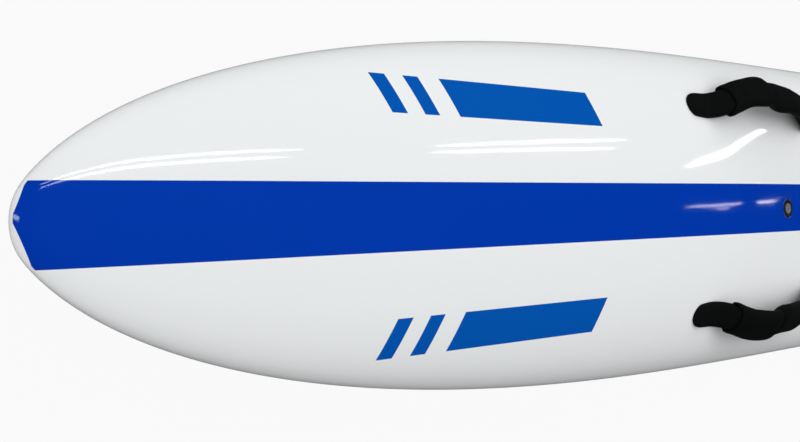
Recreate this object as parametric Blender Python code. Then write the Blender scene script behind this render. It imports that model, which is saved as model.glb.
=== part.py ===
"""A rescue paddleboard, ridden prone or on the knees and paddled by hand.

The board lies along X with its nose at -X, its deck facing +Z and its flat bottom on z = 0.
Two foam core halves are glued to a wooden stringer and wrapped in a deck and a hull laminate.
Handles, knee pads, a vent plug and a fin in its box are set into that shell.
Stations are measured in metres from the tip of the nose, and heights from the flat bottom.
"""

import math

import bmesh
import bpy
from mathutils import Matrix, Vector

# Outline of the board seen from above
BOARD_LENGTH = 3.2
HALF_WIDTH = 0.28575
WIDE_POINT = 1.55
NOSE_POWER = 3.0
NOSE_ROUNDNESS = 1.81
NOSE_BLUNTING = 0.057
NOSE_BLUNT_LENGTH = 0.014
TAIL_HALF_WIDTH = 0.09
TAIL_POWER = 3.1
TAIL_CORNER = 0.06

# Profile of the board seen from the side
BOARD_THICKNESS = 0.155
THICK_POINT = 1.15
NOSE_FULLNESS = 0.68
TAIL_THICKNESS = 0.045
TAIL_TAPER_POWER = 2.24
TAIL_EDGE = 0.02
NOSE_ROCKER = 0.148
NOSE_ROCKER_LENGTH = 1.5
NOSE_ROCKER_POWER = 3.0
TAIL_ROCKER = 0.055
TAIL_ROCKER_LENGTH = 1.3
TAIL_ROCKER_POWER = 2.2

# Cross-section: where the rail's apex lies, how full the deck is, and the flat of the bottom
APEX_SHARE = 0.445
DECK_POWER = 2.3
FLAT_SHARE = 0.45

# Shallow dish that holds the knees, from ahead of the vent to ahead of the fin
DISH_DEPTH = 0.012
DISH_HALF_WIDTH = 0.19
DISH_START = 1.25
DISH_RAMP = 0.35
DISH_END_FROM_TAIL = 0.35

# Shell and core
SKIN = 0.002
GAP = 0.0003
STRINGER_WIDTH = 0.004
CORE_NOSE_SETBACK = 0.02
CORE_TAIL_SETBACK = 0.025
NOSE_STATIONS = 10
NOSE_SPACING_POWER = 2.6
RAMP_STATIONS = 4
PAD_STATIONS = 8
TAIL_STATIONS = 4
DECK_COLUMNS = 10
RAIL_STEPS = 5
FIRST_COLUMN_LIMIT = 0.4
CHORD_STEP = 0.001
CUTTER_OVERRUN = 0.01

# Painted stripe down the middle of the deck
STRIPE_HALF_WIDTH = 0.0452

# Knee pads of grooved foam, one on each side of the stripe
PAD_START = 1.8
PAD_END_FROM_TAIL = 0.4
PAD_THICKNESS = 0.004
PAD_STRIPE_MARGIN = 0.0035
PAD_COLUMNS = 3

# Vent plug on the middle line
VENT_STATION = 1.445
VENT_RADIUS = 0.018
VENT_PROUD = 0.0006
VENT_FLANGE = 0.0015
VENT_BARREL_RADIUS = 0.011
VENT_DEPTH = 0.024
VENT_HEAD_RADIUS = 0.0098
VENT_HEAD_THICKNESS = 0.003
VENT_HEAD_RECESS = 0.0022
VENT_SHANK_RADIUS = 0.0056
VENT_SHANK_LENGTH = 0.012
VENT_AIR_HOLE_RADIUS = 0.0015
SEAL_WIRE_RADIUS = 0.0011
COIN_SLOT_WIDTH = 0.002
COIN_SLOT_DEPTH = 0.0012
COIN_SLOT_LENGTH_SHARE = 1.2

# Carrying handles: a webbing strap under a padded sleeve, its ends screwed down under two boots
HANDLE_LENGTH = 0.424
BOOT_LENGTH = 0.079
BOOT_TONGUE = 0.042
SLEEVE_LENGTH = HANDLE_LENGTH - 2 * BOOT_LENGTH
STRAP_LANDING = HANDLE_LENGTH / 2 - BOOT_TONGUE
SLEEVE_WIDTH = 0.064
CUFF_WIDTH = 0.057
SLEEVE_THICKNESS = 0.028
CUFF_THICKNESS = 0.024
SLEEVE_SECTION_POWER = 3.0
SLEEVE_SECTION_POINTS = 14
SLEEVE_CREST = 0.053
CUFF_HEIGHT = 0.0205
ARCH_POWER = 3.2
SLEEVE_LEAN = math.radians(24)
LEAN_INTO_SLEEVE = 0.045
STRAP_WIDTH = 0.038
STRAP_THICKNESS = 0.002
STRAP_END_COVER = 0.013
STRAP_ROOM_OVERRUN = 0.001
BOOT_WIDTH = 0.046
BOOT_TIP_RADIUS = 0.023
BOOT_TIP_MARGIN = 0.3
BOOT_CORNER_POWER = 0.5
BOOT_SECTION_STEPS = 6
BOOT_TOP = 0.0095
BOOT_TIP_TOP = 0.0048
BOOT_TIP_RISE = 0.014
BOOT_CUFF_TOP = 0.008
BOOT_CUFF_BOTTOM = 0.0035
ANCHOR_FROM_TIP = 0.027
FRONT_HANDLE_STATION = 1.35
FRONT_HANDLE_RAIL_INSET = 0.1085
FRONT_HANDLE_TOE = math.radians(-1.9)
REAR_HANDLE_FROM_TAIL = 0.74
REAR_HANDLE_RAIL_INSET = 0.085
REAR_HANDLE_TOE = math.radians(-2.7)

# Screws, washers and threaded inserts that hold the handles
SCREW_RADIUS = 0.0028
SCREW_LENGTH = 0.018
SCREW_HEAD_RADIUS = 0.0055
SCREW_HEAD_THICKNESS = 0.0024
WASHER_RADIUS = 0.0095
WASHER_THICKNESS = 0.001
SCREW_CLEARANCE = 0.0004
INSERT_RADIUS = 0.008
INSERT_FLANGE_RADIUS = 0.012
INSERT_FLANGE = 0.0014
INSERT_DEPTH = 0.022

# Fin box, let into the bottom over the stringer
FIN_BOX_FROM_TAIL = 0.33
FIN_BOX_LENGTH = 0.272
FIN_BOX_WIDTH = 0.0254
FIN_BOX_DEPTH = 0.024
FIN_SLOT_LENGTH = 0.25
FIN_SLOT_WIDTH = 0.0096
FIN_SLOT_DEPTH = 0.0205
PIN_CHANNEL_WIDTH = 0.0168
PIN_CHANNEL_BASE = 0.009
PIN_CHANNEL_HEIGHT = 0.0062
PIN_GATE_LENGTH = 0.012
PIN_GATE_OVERRUN = 0.012
BOX_WELL_OVERRUN = 0.02

# Fin, with the tab that slides in the box
FIN_DEPTH = 0.2
FIN_BASE = 0.145
FIN_RAKE = 0.115
FIN_THICKNESS = 0.0086
FIN_TAB_HEIGHT = 0.018
FIN_TAB_LENGTH = 0.132
FIN_TONGUE_LENGTH = 0.02
FIN_TONGUE_HEIGHT = 0.005
FIN_RAKE_POWER = 1.7
FIN_TIP_POWER = 2.4
FIN_TIP_ROUNDNESS = 0.6
FIN_TIP_THINNING = 0.75
FIN_TIP_MARGIN = 0.06
FIN_WAIST = 0.2
FIN_BELLY_POWER = 1.1
FIN_BELLY_SHIFT = 0.3
FIN_STATIONS = 9
FIN_SECTION_POINTS = 12
FIN_PIN_RADIUS = 0.0024
FIN_PIN_LENGTH = 0.0156
FIN_PIN_FROM_END = 0.012
FIN_SCREW_RADIUS = 0.0019
FIN_SCREW_HEAD_RADIUS = 0.0038
FIN_SCREW_HEAD_THICKNESS = 0.002
NUT_PLATE_LENGTH = 0.016
NUT_PLATE_WIDTH = 0.0125
NUT_PLATE_THICKNESS = 0.003

# Finishes: colour, roughness and metallic value
WHITE_GLOSS = ((0.82, 0.84, 0.85), 0.12, 0.0)
STRIPE_BLUE = (0.0015, 0.04, 0.34)
FOAM = ((0.87, 0.88, 0.86), 0.9, 0.0)
CEDAR = ((0.45, 0.27, 0.14), 0.6, 0.0)
BLACK_RUBBER = ((0.012, 0.012, 0.013), 0.75, 0.0)
BLACK_PLASTIC = ((0.01, 0.01, 0.011), 0.4, 0.0)
GREY_PLASTIC = ((0.35, 0.36, 0.38), 0.45, 0.0)
GREY_FOAM = ((0.2, 0.21, 0.22), 0.85, 0.0)
STAINLESS = ((0.62, 0.62, 0.6), 0.3, 1.0)
BRASS = ((0.7, 0.5, 0.2), 0.35, 1.0)

SHARP_ANGLE = math.radians(40)
ROUND_STEPS = 16
SMALL_ROUND_STEPS = 10
SIDES = {"port": -1, "starboard": 1}
ENDS = {"fore": -1, "aft": 1}


def along_x(station):
    """World X of a station: the board's middle is at X = 0."""
    return station - BOARD_LENGTH / 2


def half_width(station):
    """Half the outline's width: a rounded nose, a long taper aft and a squash tail with round corners."""
    if station < WIDE_POINT:
        fore = 1 - station / WIDE_POINT
        blunting = NOSE_BLUNTING * math.exp(-station / NOSE_BLUNT_LENGTH)
        width = HALF_WIDTH * (1 - fore**NOSE_POWER) ** (1 / NOSE_ROUNDNESS - blunting)
    else:
        aft = (station - WIDE_POINT) / (BOARD_LENGTH - WIDE_POINT)
        width = HALF_WIDTH - (HALF_WIDTH - TAIL_HALF_WIDTH) * aft**TAIL_POWER
    into_corner = station - (BOARD_LENGTH - TAIL_CORNER)
    if into_corner > 0:
        width -= TAIL_CORNER - math.sqrt(max(0.0, TAIL_CORNER**2 - into_corner**2))
    return width


def bottom_height(station):
    """Height of the bottom's middle line: flat under the rider, curving up to nose and tail."""
    tail_rocker_start = BOARD_LENGTH - TAIL_ROCKER_LENGTH
    if station < NOSE_ROCKER_LENGTH:
        return NOSE_ROCKER * (1 - station / NOSE_ROCKER_LENGTH) ** NOSE_ROCKER_POWER
    if station > tail_rocker_start:
        return TAIL_ROCKER * ((station - tail_rocker_start) / TAIL_ROCKER_LENGTH) ** TAIL_ROCKER_POWER
    return 0.0


def thickness(station):
    """Thickness on the middle line, before the dish is taken out."""
    if station < THICK_POINT:
        return BOARD_THICKNESS * (1 - (1 - station / THICK_POINT) ** 2) ** NOSE_FULLNESS
    aft = (station - THICK_POINT) / (BOARD_LENGTH - THICK_POINT)
    return BOARD_THICKNESS - (BOARD_THICKNESS - TAIL_THICKNESS) * aft**TAIL_TAPER_POWER


def edge_rounding(station):
    """Share of the section's height that is left where the tail's edge rounds over."""
    into_edge = (station - (BOARD_LENGTH - TAIL_EDGE)) / TAIL_EDGE
    return math.sqrt(max(0.0, 1 - into_edge**2)) if into_edge > 0 else 1.0


def apex_height(station):
    """Height of the rail's widest line, where the two laminates meet."""
    return bottom_height(station) + APEX_SHARE * thickness(station)


def smooth_step(share):
    """A smooth rise from 0 to 1 as share goes from 0 to 1."""
    share = min(1.0, max(0.0, share))
    return share * share * (3 - 2 * share)


def dish(station, y):
    """How far the deck is hollowed at this point."""
    rise = smooth_step((station - DISH_START) / DISH_RAMP)
    fall = smooth_step((BOARD_LENGTH - DISH_END_FROM_TAIL - station) / DISH_RAMP)
    across = max(0.0, 1 - (y / DISH_HALF_WIDTH) ** 2)
    return DISH_DEPTH * rise * fall * across**2


def shrunk(size, inset):
    """A size less an inset on a full section, and never below zero at the tips."""
    return size * size / (size + inset) if size > 0 else 0.0


def deck_point(station, share, inset=0.0):
    """Point on the deck side at share of the half width, on a surface inset from the outer one."""
    full_rise = (1 - APEX_SHARE) * thickness(station) * edge_rounding(station)
    y = shrunk(half_width(station), inset) * share
    fullness = max(0.0, 1 - abs(share) ** DECK_POWER) ** (1 / DECK_POWER)
    z = apex_height(station) + GAP / 2 + shrunk(full_rise, inset) * fullness
    z -= dish(station, y) if abs(share) < 1 else 0.0
    return Vector((along_x(station + inset * (1 - 2 * station / BOARD_LENGTH)), y, z))


def bottom_point(station, out, turn, inset=0.0):
    """Point on the bottom: out is its share across the flat, turn its angle up round the rail."""
    full_drop = APEX_SHARE * thickness(station) * edge_rounding(station)
    reach = FLAT_SHARE * abs(out) + (1 - FLAT_SHARE) * math.sin(turn)
    y = math.copysign(shrunk(half_width(station), inset) * reach, out)
    z = apex_height(station) - GAP / 2 - shrunk(full_drop, inset) * math.cos(turn)
    return Vector((along_x(station + inset * (1 - 2 * station / BOARD_LENGTH)), y, z))


def deck_shares(station):
    """Shares of the half width where the deck has its columns: one runs along the pads' inner edge,
    and the rest close up towards the rail."""
    pad_edge = STRIPE_HALF_WIDTH + PAD_STRIPE_MARGIN
    first = min(FIRST_COLUMN_LIMIT, pad_edge / max(half_width(station), pad_edge))
    side = []
    for column in range(DECK_COLUMNS + 1):
        side.append(first + (1 - first) * math.sin(math.pi / 2 * column / DECK_COLUMNS))
    return [-share for share in reversed(side)] + [0.0] + side


def rail_turns():
    """Angles up round the rail, from the edge of the flat to the apex."""
    return [math.pi / 2 * step / RAIL_STEPS for step in range(RAIL_STEPS + 1)]


def spread(first, last, count):
    """Evenly spaced values from first to last."""
    return [first + (last - first) * step / (count - 1) for step in range(count)]


def stations():
    """Stations of the loft: close together at the tips, with rows at the vent and the pads' ends."""
    pad_end = BOARD_LENGTH - PAD_END_FROM_TAIL
    corner_start = BOARD_LENGTH - TAIL_CORNER
    nose = [DISH_START * (step / NOSE_STATIONS) ** NOSE_SPACING_POWER for step in range(NOSE_STATIONS)]
    ramp = spread(DISH_START, DISH_START + DISH_RAMP, RAMP_STATIONS + 1)
    pads = spread(PAD_START, pad_end, PAD_STATIONS + 1)
    aft = spread(pad_end, corner_start, TAIL_STATIONS + 1)
    corner = [corner_start + TAIL_CORNER * math.sin(turn) for turn in rail_turns()]
    found = set(nose + ramp + pads + aft + corner + [VENT_STATION, BOARD_LENGTH])
    rows = sorted(found)
    return [row for row, following in zip(rows, rows[1:]) if following - row > 1e-6] + [BOARD_LENGTH]


def deck_row(station, inset):
    """One row of deck points, from the port rail to the starboard rail."""
    return [deck_point(station, share, inset) for share in deck_shares(station)]


def bottom_row(station, inset):
    """One row of bottom points, from the port rail to the starboard rail."""
    port = [bottom_point(station, -1, turn, inset) for turn in reversed(rail_turns())]
    starboard = [bottom_point(station, 1, turn, inset) for turn in rail_turns()]
    return port + [bottom_point(station, 0.0, 0.0, inset)] + starboard


def core_ring(station, inset, side):
    """Section of one core half: deck side out to the rail, then the bottom back to the middle."""
    middle = STRINGER_WIDTH / 2 + GAP
    shares = deck_shares(station)[DECK_COLUMNS + 1 :]
    deck = [deck_point(station, share * side, inset) for share in shares]
    rail = [bottom_point(station, side, turn, inset) for turn in reversed(rail_turns())]
    ring = deck + rail + [bottom_point(station, 0.0, 0.0, inset)]
    for point in ring:
        point.y = side * max(middle, point.y * side)
    return ring


def add_cell(bm, corners, outward_from):
    """Two triangles over four corners, split so that the surface bulges away from a point."""
    a, b, c, d = corners
    first = ((a.co + c.co) / 2 - outward_from).length
    second = ((b.co + d.co) / 2 - outward_from).length
    if first >= second:
        triangles = ((a, b, c), (a, c, d))
    else:
        triangles = ((a, b, d), (b, c, d))
    for triangle in triangles:
        bm.faces.new(triangle)


def axis_point(point):
    """The point on the board's long axis beside a point of its surface."""
    station = point.x + BOARD_LENGTH / 2
    return Vector((point.x, 0.0, apex_height(min(max(station, 0.0), BOARD_LENGTH))))


def add_grid(bm, rows):
    """Faces between rows of vertices."""
    for near, far in zip(rows, rows[1:]):
        for j in range(len(near) - 1):
            add_cell(bm, (near[j], far[j], far[j + 1], near[j + 1]), axis_point(near[j].co))


def finished(bm):
    """Merges points that coincide at the tips and turns every face outwards."""
    bmesh.ops.remove_doubles(bm, verts=bm.verts, dist=1e-6)
    bmesh.ops.dissolve_degenerate(bm, edges=bm.edges, dist=1e-7)
    bmesh.ops.recalc_face_normals(bm, faces=bm.faces)
    if bm.calc_volume(signed=True) < 0:
        bmesh.ops.reverse_faces(bm, faces=bm.faces)


def make_object(name, bm, finish, frame=None, origin=None):
    """Object of a mesh: drawn in a frame's own coordinates, or in the world's round an origin."""
    if origin is not None:
        bmesh.ops.translate(bm, verts=bm.verts, vec=-origin)
    mesh = bpy.data.meshes.new(name)
    bm.to_mesh(mesh)
    bm.free()
    mesh.shade_smooth()
    mesh.set_sharp_from_angle(angle=SHARP_ANGLE)
    obj = bpy.data.objects.new(name, mesh)
    bpy.context.scene.collection.objects.link(obj)
    if frame is not None:
        obj.matrix_world = frame
    if origin is not None:
        obj.location = origin
    if finish is None:
        obj.hide_render = True
        obj.display_type = "WIRE"
    else:
        mesh.materials.append(new_material(name, finish))
    return obj


def new_material(name, finish):
    """A Principled material of one finish."""
    colour, roughness, metallic = finish
    material = bpy.data.materials.new(name)
    material.use_nodes = True
    shader = material.node_tree.nodes["Principled BSDF"]
    shader.inputs["Base Color"].default_value = (*colour, 1.0)
    shader.inputs["Roughness"].default_value = roughness
    shader.inputs["Metallic"].default_value = metallic
    return material


def paint_stripe(material):
    """Mixes the blue in where a point is within the stripe's half width of the middle line."""
    nodes = material.node_tree.nodes
    links = material.node_tree.links
    shader = nodes["Principled BSDF"]
    place = nodes.new("ShaderNodeTexCoord")
    split = nodes.new("ShaderNodeSeparateXYZ")
    sideways = nodes.new("ShaderNodeMath")
    sideways.operation = "ABSOLUTE"
    inside = nodes.new("ShaderNodeMath")
    inside.operation = "LESS_THAN"
    inside.inputs[1].default_value = STRIPE_HALF_WIDTH
    colours = nodes.new("ShaderNodeMixRGB")
    colours.inputs["Color1"].default_value = shader.inputs["Base Color"].default_value
    colours.inputs["Color2"].default_value = (*STRIPE_BLUE, 1.0)
    links.new(place.outputs["Object"], split.inputs[0])
    links.new(split.outputs["Y"], sideways.inputs[0])
    links.new(sideways.outputs[0], inside.inputs[0])
    links.new(inside.outputs[0], colours.inputs["Fac"])
    links.new(colours.outputs["Color"], shader.inputs["Base Color"])


def cut(obj, *cutters):
    """Takes each cutter's shape out of an object. The deck needs the manifold solver, because the exact
    one turns its thin wall inside out."""
    for cutter in cutters:
        modifier = obj.modifiers.new(cutter.name, "BOOLEAN")
        modifier.operation = "DIFFERENCE"
        modifier.solver = "MANIFOLD" if obj.name == "deck_skin" else "EXACT"
        modifier.object = cutter


def add_loft(bm, rings):
    """A closed body through rings of points, capped at both ends. Its two halves are split along
    mirrored diagonals, so that a thin strap keeps its thickness where it twists."""
    loops = [[bm.verts.new(point) for point in ring] for ring in rings]
    count = len(loops[0])
    for near, far in zip(loops, loops[1:]):
        for j in range(count):
            following = (j + 1) % count
            a, b, c, d = near[j], far[j], far[following], near[following]
            halves = ((a, b, c), (a, c, d)) if j < count / 2 else ((a, b, d), (b, c, d))
            for triangle in halves:
                bm.faces.new(triangle)
    bm.faces.new(loops[0])
    bm.faces.new(reversed(loops[-1]))


def lofted(name, rings, finish, origin=None):
    """Object of a loft whose rings are in world coordinates."""
    bm = bmesh.new()
    add_loft(bm, rings)
    finished(bm)
    return make_object(name, bm, finish, origin=origin)


def turned(name, profile, frame, finish, steps=ROUND_STEPS, closed=False):
    """Profile of radii and heights spun round the frame's Z: a closed profile makes a ring."""
    bm = bmesh.new()
    points = [bm.verts.new((radius, 0.0, height)) for radius, height in profile]
    pairs = list(zip(points, points[1:]))
    if closed:
        pairs.append((points[-1], points[0]))
    edges = [bm.edges.new(pair) for pair in pairs if pair[0].co.x + pair[1].co.x > 0]
    bmesh.ops.spin(
        bm,
        geom=points + edges,
        axis=(0, 0, 1),
        cent=(0, 0, 0),
        angle=2 * math.pi,
        steps=steps,
        use_merge=True,
    )
    finished(bm)
    return make_object(name, bm, finish, frame=frame)


def prism(name, outline, low, high, frame, finish):
    """An outline of points in the frame's XY plane, extruded from one height to another."""
    bm = bmesh.new()
    base = bm.faces.new([bm.verts.new((x, y, low)) for x, y in outline])
    grown = bmesh.ops.extrude_face_region(bm, geom=[base])
    top = [item for item in grown["geom"] if isinstance(item, bmesh.types.BMVert)]
    bmesh.ops.translate(bm, verts=top, vec=(0, 0, high - low))
    finished(bm)
    return make_object(name, bm, finish, frame=frame)


def rounded_outline(length, width, radius, steps=4, middle=0.0):
    """A rectangle with round corners about a middle point on X, anticlockwise."""
    outline = []
    for quarter, (across, up) in enumerate(((1, 1), (-1, 1), (-1, -1), (1, -1))):
        for step in range(steps + 1):
            angle = math.pi / 2 * (quarter + step / steps)
            x = middle + across * (length / 2 - radius) + radius * math.cos(angle)
            y = up * (width / 2 - radius) + radius * math.sin(angle)
            outline.append((x, y))
    return outline


def frame_at(origin, forward, up):
    """Frame with Z along up and X as near forward as it can be."""
    z_axis = up.normalized()
    y_axis = z_axis.cross(forward).normalized()
    x_axis = y_axis.cross(z_axis)
    rotation = Matrix((x_axis, y_axis, z_axis)).transposed()
    return Matrix.Translation(origin) @ rotation.to_4x4()


def on_deck(station, y):
    """Point of the outer deck surface over a place on the plan."""
    return deck_point(station, y / half_width(station))


def deck_normal(station, y):
    """Outward normal of the deck, from two short steps along it."""
    step = 2 * CHORD_STEP
    lengthwise = on_deck(station + step, y) - on_deck(station - step, y)
    sideways = on_deck(station, y + step) - on_deck(station, y - step)
    return lengthwise.cross(sideways).normalized()


def build_shell():
    """Deck and hull laminates: two walls that meet edge to edge round the rail."""
    shell = {}
    for name, row in (("deck_skin", deck_row), ("hull_skin", bottom_row)):
        bm = bmesh.new()
        outer = [[bm.verts.new(point) for point in row(station, 0.0)] for station in stations()]
        inner = [[bm.verts.new(point) for point in row(station, SKIN)] for station in stations()]
        add_grid(bm, outer)
        add_grid(bm, inner)
        for near, far, near_in, far_in in zip(outer, outer[1:], inner, inner[1:]):
            for rail in (0, -1):
                bm.faces.new((near[rail], far[rail], far_in[rail], near_in[rail]))
        for j in range(len(outer[-1]) - 1):
            bm.faces.new((outer[-1][j], outer[-1][j + 1], inner[-1][j + 1], inner[-1][j]))
        finished(bm)
        shell[name] = make_object(name, bm, WHITE_GLOSS)
    paint_stripe(shell["deck_skin"].data.materials[0])
    return shell


def core_stations():
    """The laminate's own stations, without the tips, where the foam stops short."""
    last = BOARD_LENGTH - CORE_TAIL_SETBACK
    return [station for station in stations() if CORE_NOSE_SETBACK < station < last]


def build_cores():
    """Foam halves and the stringer between them, a glue line's gap inside the laminate."""
    inset = SKIN + GAP
    cores = {}
    for side_name, side in SIDES.items():
        bm = bmesh.new()
        rings = [core_ring(station, inset, side) for station in core_stations()]
        loops = [[bm.verts.new(point) for point in ring] for ring in rings]
        add_grid(bm, [loop + loop[:1] for loop in loops])
        bm.faces.new(loops[0])
        bm.faces.new(loops[-1])
        finished(bm)
        cores[side_name] = make_object(f"core_{side_name}", bm, FOAM)
    sections = []
    for station in core_stations():
        top = deck_point(station, 0.0, inset)
        foot = bottom_point(station, 0.0, 0.0, inset)
        edge = STRINGER_WIDTH / 2
        corners = ((-edge, foot.z), (edge, foot.z), (edge, top.z), (-edge, top.z))
        sections.append([Vector((top.x, y, z)) for y, z in corners])
    stringer = lofted("stringer", sections, CEDAR)
    return cores["port"], cores["starboard"], stringer


def build_pads():
    """Knee pads laid on the deck, whose cells they follow so that they bear on it evenly."""
    pad_stations = [s for s in stations() if PAD_START - GAP < s < BOARD_LENGTH - PAD_END_FROM_TAIL + GAP]
    middle = DECK_COLUMNS + 1
    for side_name, side in SIDES.items():
        columns = [middle + side * (1 + step) for step in range(PAD_COLUMNS + 1)]
        bm = bmesh.new()
        layers = []
        for height in (GAP, GAP + PAD_THICKNESS):
            rows = []
            for station in pad_stations:
                row = deck_row(station, 0.0)
                rows.append([bm.verts.new(row[j] + Vector((0, 0, height))) for j in columns])
            add_grid(bm, rows)
            layers.append(rows)
        low, high = layers
        for near, far, near_up, far_up in zip(low, low[1:], high, high[1:]):
            for j in (0, -1):
                bm.faces.new((near[j], far[j], far_up[j], near_up[j]))
        for end in (0, -1):
            for j in range(len(columns) - 1):
                bm.faces.new((low[end][j], low[end][j + 1], high[end][j + 1], high[end][j]))
        finished(bm)
        make_object(f"knee_pad_{side_name}", bm, GREY_FOAM)


def build_vent(deck_skin, foam):
    """Vent plug: a threaded body let in flush, and a coin-slot screw that closes on a rubber seal."""
    up = deck_normal(VENT_STATION, 0.0)
    frame = frame_at(on_deck(VENT_STATION, 0.0), Vector((1, 0, 0)), up)
    seat = VENT_PROUD - VENT_HEAD_RECESS - 2 * SEAL_WIRE_RADIUS - 2 * GAP
    head_wall = VENT_HEAD_RADIUS + GAP
    bore = VENT_SHANK_RADIUS + GAP
    bore_end = seat - VENT_SHANK_LENGTH
    body = (
        (VENT_RADIUS, -VENT_FLANGE),
        (VENT_RADIUS, VENT_PROUD / 2),
        (VENT_RADIUS - VENT_PROUD, VENT_PROUD),
        (head_wall, VENT_PROUD),
        (head_wall, seat),
        (bore, seat),
        (bore, bore_end),
        (VENT_AIR_HOLE_RADIUS, bore_end),
        (VENT_AIR_HOLE_RADIUS, -VENT_DEPTH),
        (VENT_BARREL_RADIUS, -VENT_DEPTH),
        (VENT_BARREL_RADIUS, -VENT_FLANGE),
    )
    turned("vent_body", body, frame, BLACK_PLASTIC, closed=True)

    seal_middle = seat + GAP + SEAL_WIRE_RADIUS
    seal_reach = VENT_SHANK_RADIUS + GAP + SEAL_WIRE_RADIUS
    wire = []
    for step in range(6):
        angle = math.pi / 3 * step
        wire.append(
            (
                seal_reach + SEAL_WIRE_RADIUS * math.cos(angle),
                seal_middle + SEAL_WIRE_RADIUS * math.sin(angle),
            )
        )
    turned("vent_seal", wire, frame, BLACK_RUBBER, closed=True)

    head_base = seal_middle + SEAL_WIRE_RADIUS + GAP
    head_top = head_base + VENT_HEAD_THICKNESS
    screw = (
        (0.0, head_top),
        (VENT_HEAD_RADIUS - VENT_PROUD, head_top),
        (VENT_HEAD_RADIUS, head_top - VENT_PROUD),
        (VENT_HEAD_RADIUS, head_base),
        (VENT_SHANK_RADIUS, head_base),
        (VENT_SHANK_RADIUS, bore_end + GAP),
        (0.0, bore_end + GAP),
    )
    vent_screw = turned("vent_screw", screw, frame, GREY_PLASTIC)
    slot_length = VENT_HEAD_RADIUS * COIN_SLOT_LENGTH_SHARE
    slot = rounded_outline(slot_length, COIN_SLOT_WIDTH, COIN_SLOT_WIDTH / 2)
    slot_base, slot_top = head_top - COIN_SLOT_DEPTH, head_top + CUTTER_OVERRUN
    cut(vent_screw, prism("coin_slot_cutter", slot, slot_base, slot_top, frame, None))

    well = round_cutter("vent_well_cutter", frame, VENT_RADIUS + GAP, -SKIN * 2)
    barrel = round_cutter("vent_barrel_cutter", frame, VENT_BARREL_RADIUS + GAP, -VENT_DEPTH - GAP)
    cut(deck_skin, well)
    cut_each(foam, barrel)


def round_cutter(name, frame, radius, bottom, top=CUTTER_OVERRUN):
    """A round cutter from a depth below the frame's origin to above it."""
    profile = ((0.0, top), (radius, top), (radius, bottom), (0.0, bottom))
    return turned(name, profile, frame, None)


def cut_each(objects, cutter):
    """Takes one cutter out of several objects."""
    for obj in objects:
        cut(obj, cutter)


class HandleLine:
    """The line that a handle lies along: a place on the deck, a height over it and an outward lean."""

    def __init__(self, side, station, rail_inset, toe):
        self.side = side
        self.station = station
        self.toe = toe
        self.inset = half_width(station) - rail_inset
        self.normal = deck_normal(station, side * self.inset)
        ahead = Vector((math.cos(toe), side * math.sin(toe), 0.0))
        self.sideways = self.normal.cross(ahead).normalized()

    def deck(self, u):
        """Point on the deck at a distance along the line, from its middle towards the tail."""
        station = self.station + u * math.cos(self.toe)
        return on_deck(station, self.side * (self.inset + u * math.sin(self.toe)))

    def frame(self, u):
        """Frame on the deck at a distance along the line."""
        ahead = self.deck(u + CHORD_STEP) - self.deck(u - CHORD_STEP)
        return frame_at(self.deck(u), ahead, self.normal)

    def leaning(self, u):
        """Upward and sideways directions at a distance: square to the deck where the strap lies on it,
        and leant outward where the sleeve arches."""
        run = STRAP_LANDING - SLEEVE_LENGTH / 2 + LEAN_INTO_SLEEVE
        lean = self.side * SLEEVE_LEAN * smooth_step((STRAP_LANDING - abs(u)) / run)
        upward = self.normal * math.cos(lean) + self.sideways * math.sin(lean)
        return upward, self.sideways * math.cos(lean) - self.normal * math.sin(lean)

    def path(self, u):
        """Point of the strap's middle at a distance."""
        return self.deck(u) + self.leaning(u)[0] * strap_height(u)

    def ring(self, u, outline):
        """A section outline, as sideways and upward offsets, square to the path at a distance."""
        here = self.path(u)
        along = self.path(u + CHORD_STEP) - self.path(u - CHORD_STEP)
        upward = along.cross(self.leaning(u)[1]).normalized()
        sideways = upward.cross(along).normalized()
        return [here + sideways * across + upward * up for across, up in outline]


def strap_height(u):
    """Height of the strap's middle: an arch through the sleeve, then a ramp down to the deck."""
    reach = abs(u)
    cuff = SLEEVE_LENGTH / 2
    rise = SLEEVE_CREST - CUFF_HEIGHT
    if reach <= cuff:
        return CUFF_HEIGHT + rise * (1 - (reach / cuff) ** ARCH_POWER)
    landed = GAP + STRAP_THICKNESS / 2
    if reach >= STRAP_LANDING:
        return landed
    run = STRAP_LANDING - cuff
    t = (reach - cuff) / run
    slope = -ARCH_POWER * rise / cuff
    start_weight = 2 * t**3 - 3 * t**2 + 1
    slope_weight = t**3 - 2 * t**2 + t
    return start_weight * CUFF_HEIGHT + slope_weight * run * slope + (1 - start_weight) * landed


def strap_outline(extra=0.0):
    """Section of the webbing, or of the room that it needs."""
    across = STRAP_WIDTH / 2 + extra
    up = STRAP_THICKNESS / 2 + extra
    return [(-across, -up), (across, -up), (across, up), (-across, up)]


def rounded_section(width, thick, power, steps):
    """A closed section between an ellipse and a rectangle, with its corners as round as power says."""
    outline = []
    for step in range(steps):
        angle = 2 * math.pi * step / steps
        across = math.copysign(abs(math.cos(angle)) ** (2 / power), math.cos(angle))
        up = math.copysign(abs(math.sin(angle)) ** (2 / power), math.sin(angle))
        outline.append((across * width / 2, up * thick / 2))
    return outline


def sleeve_ring(line, u):
    """Section of the padded sleeve, fuller at its middle than at its cuffs."""
    fullness = 1 - abs(2 * u / SLEEVE_LENGTH) ** 2
    width = CUFF_WIDTH + (SLEEVE_WIDTH - CUFF_WIDTH) * fullness
    thick = CUFF_THICKNESS + (SLEEVE_THICKNESS - CUFF_THICKNESS) * fullness
    return line.ring(u, rounded_section(width, thick, SLEEVE_SECTION_POWER, SLEEVE_SECTION_POINTS))


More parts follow.
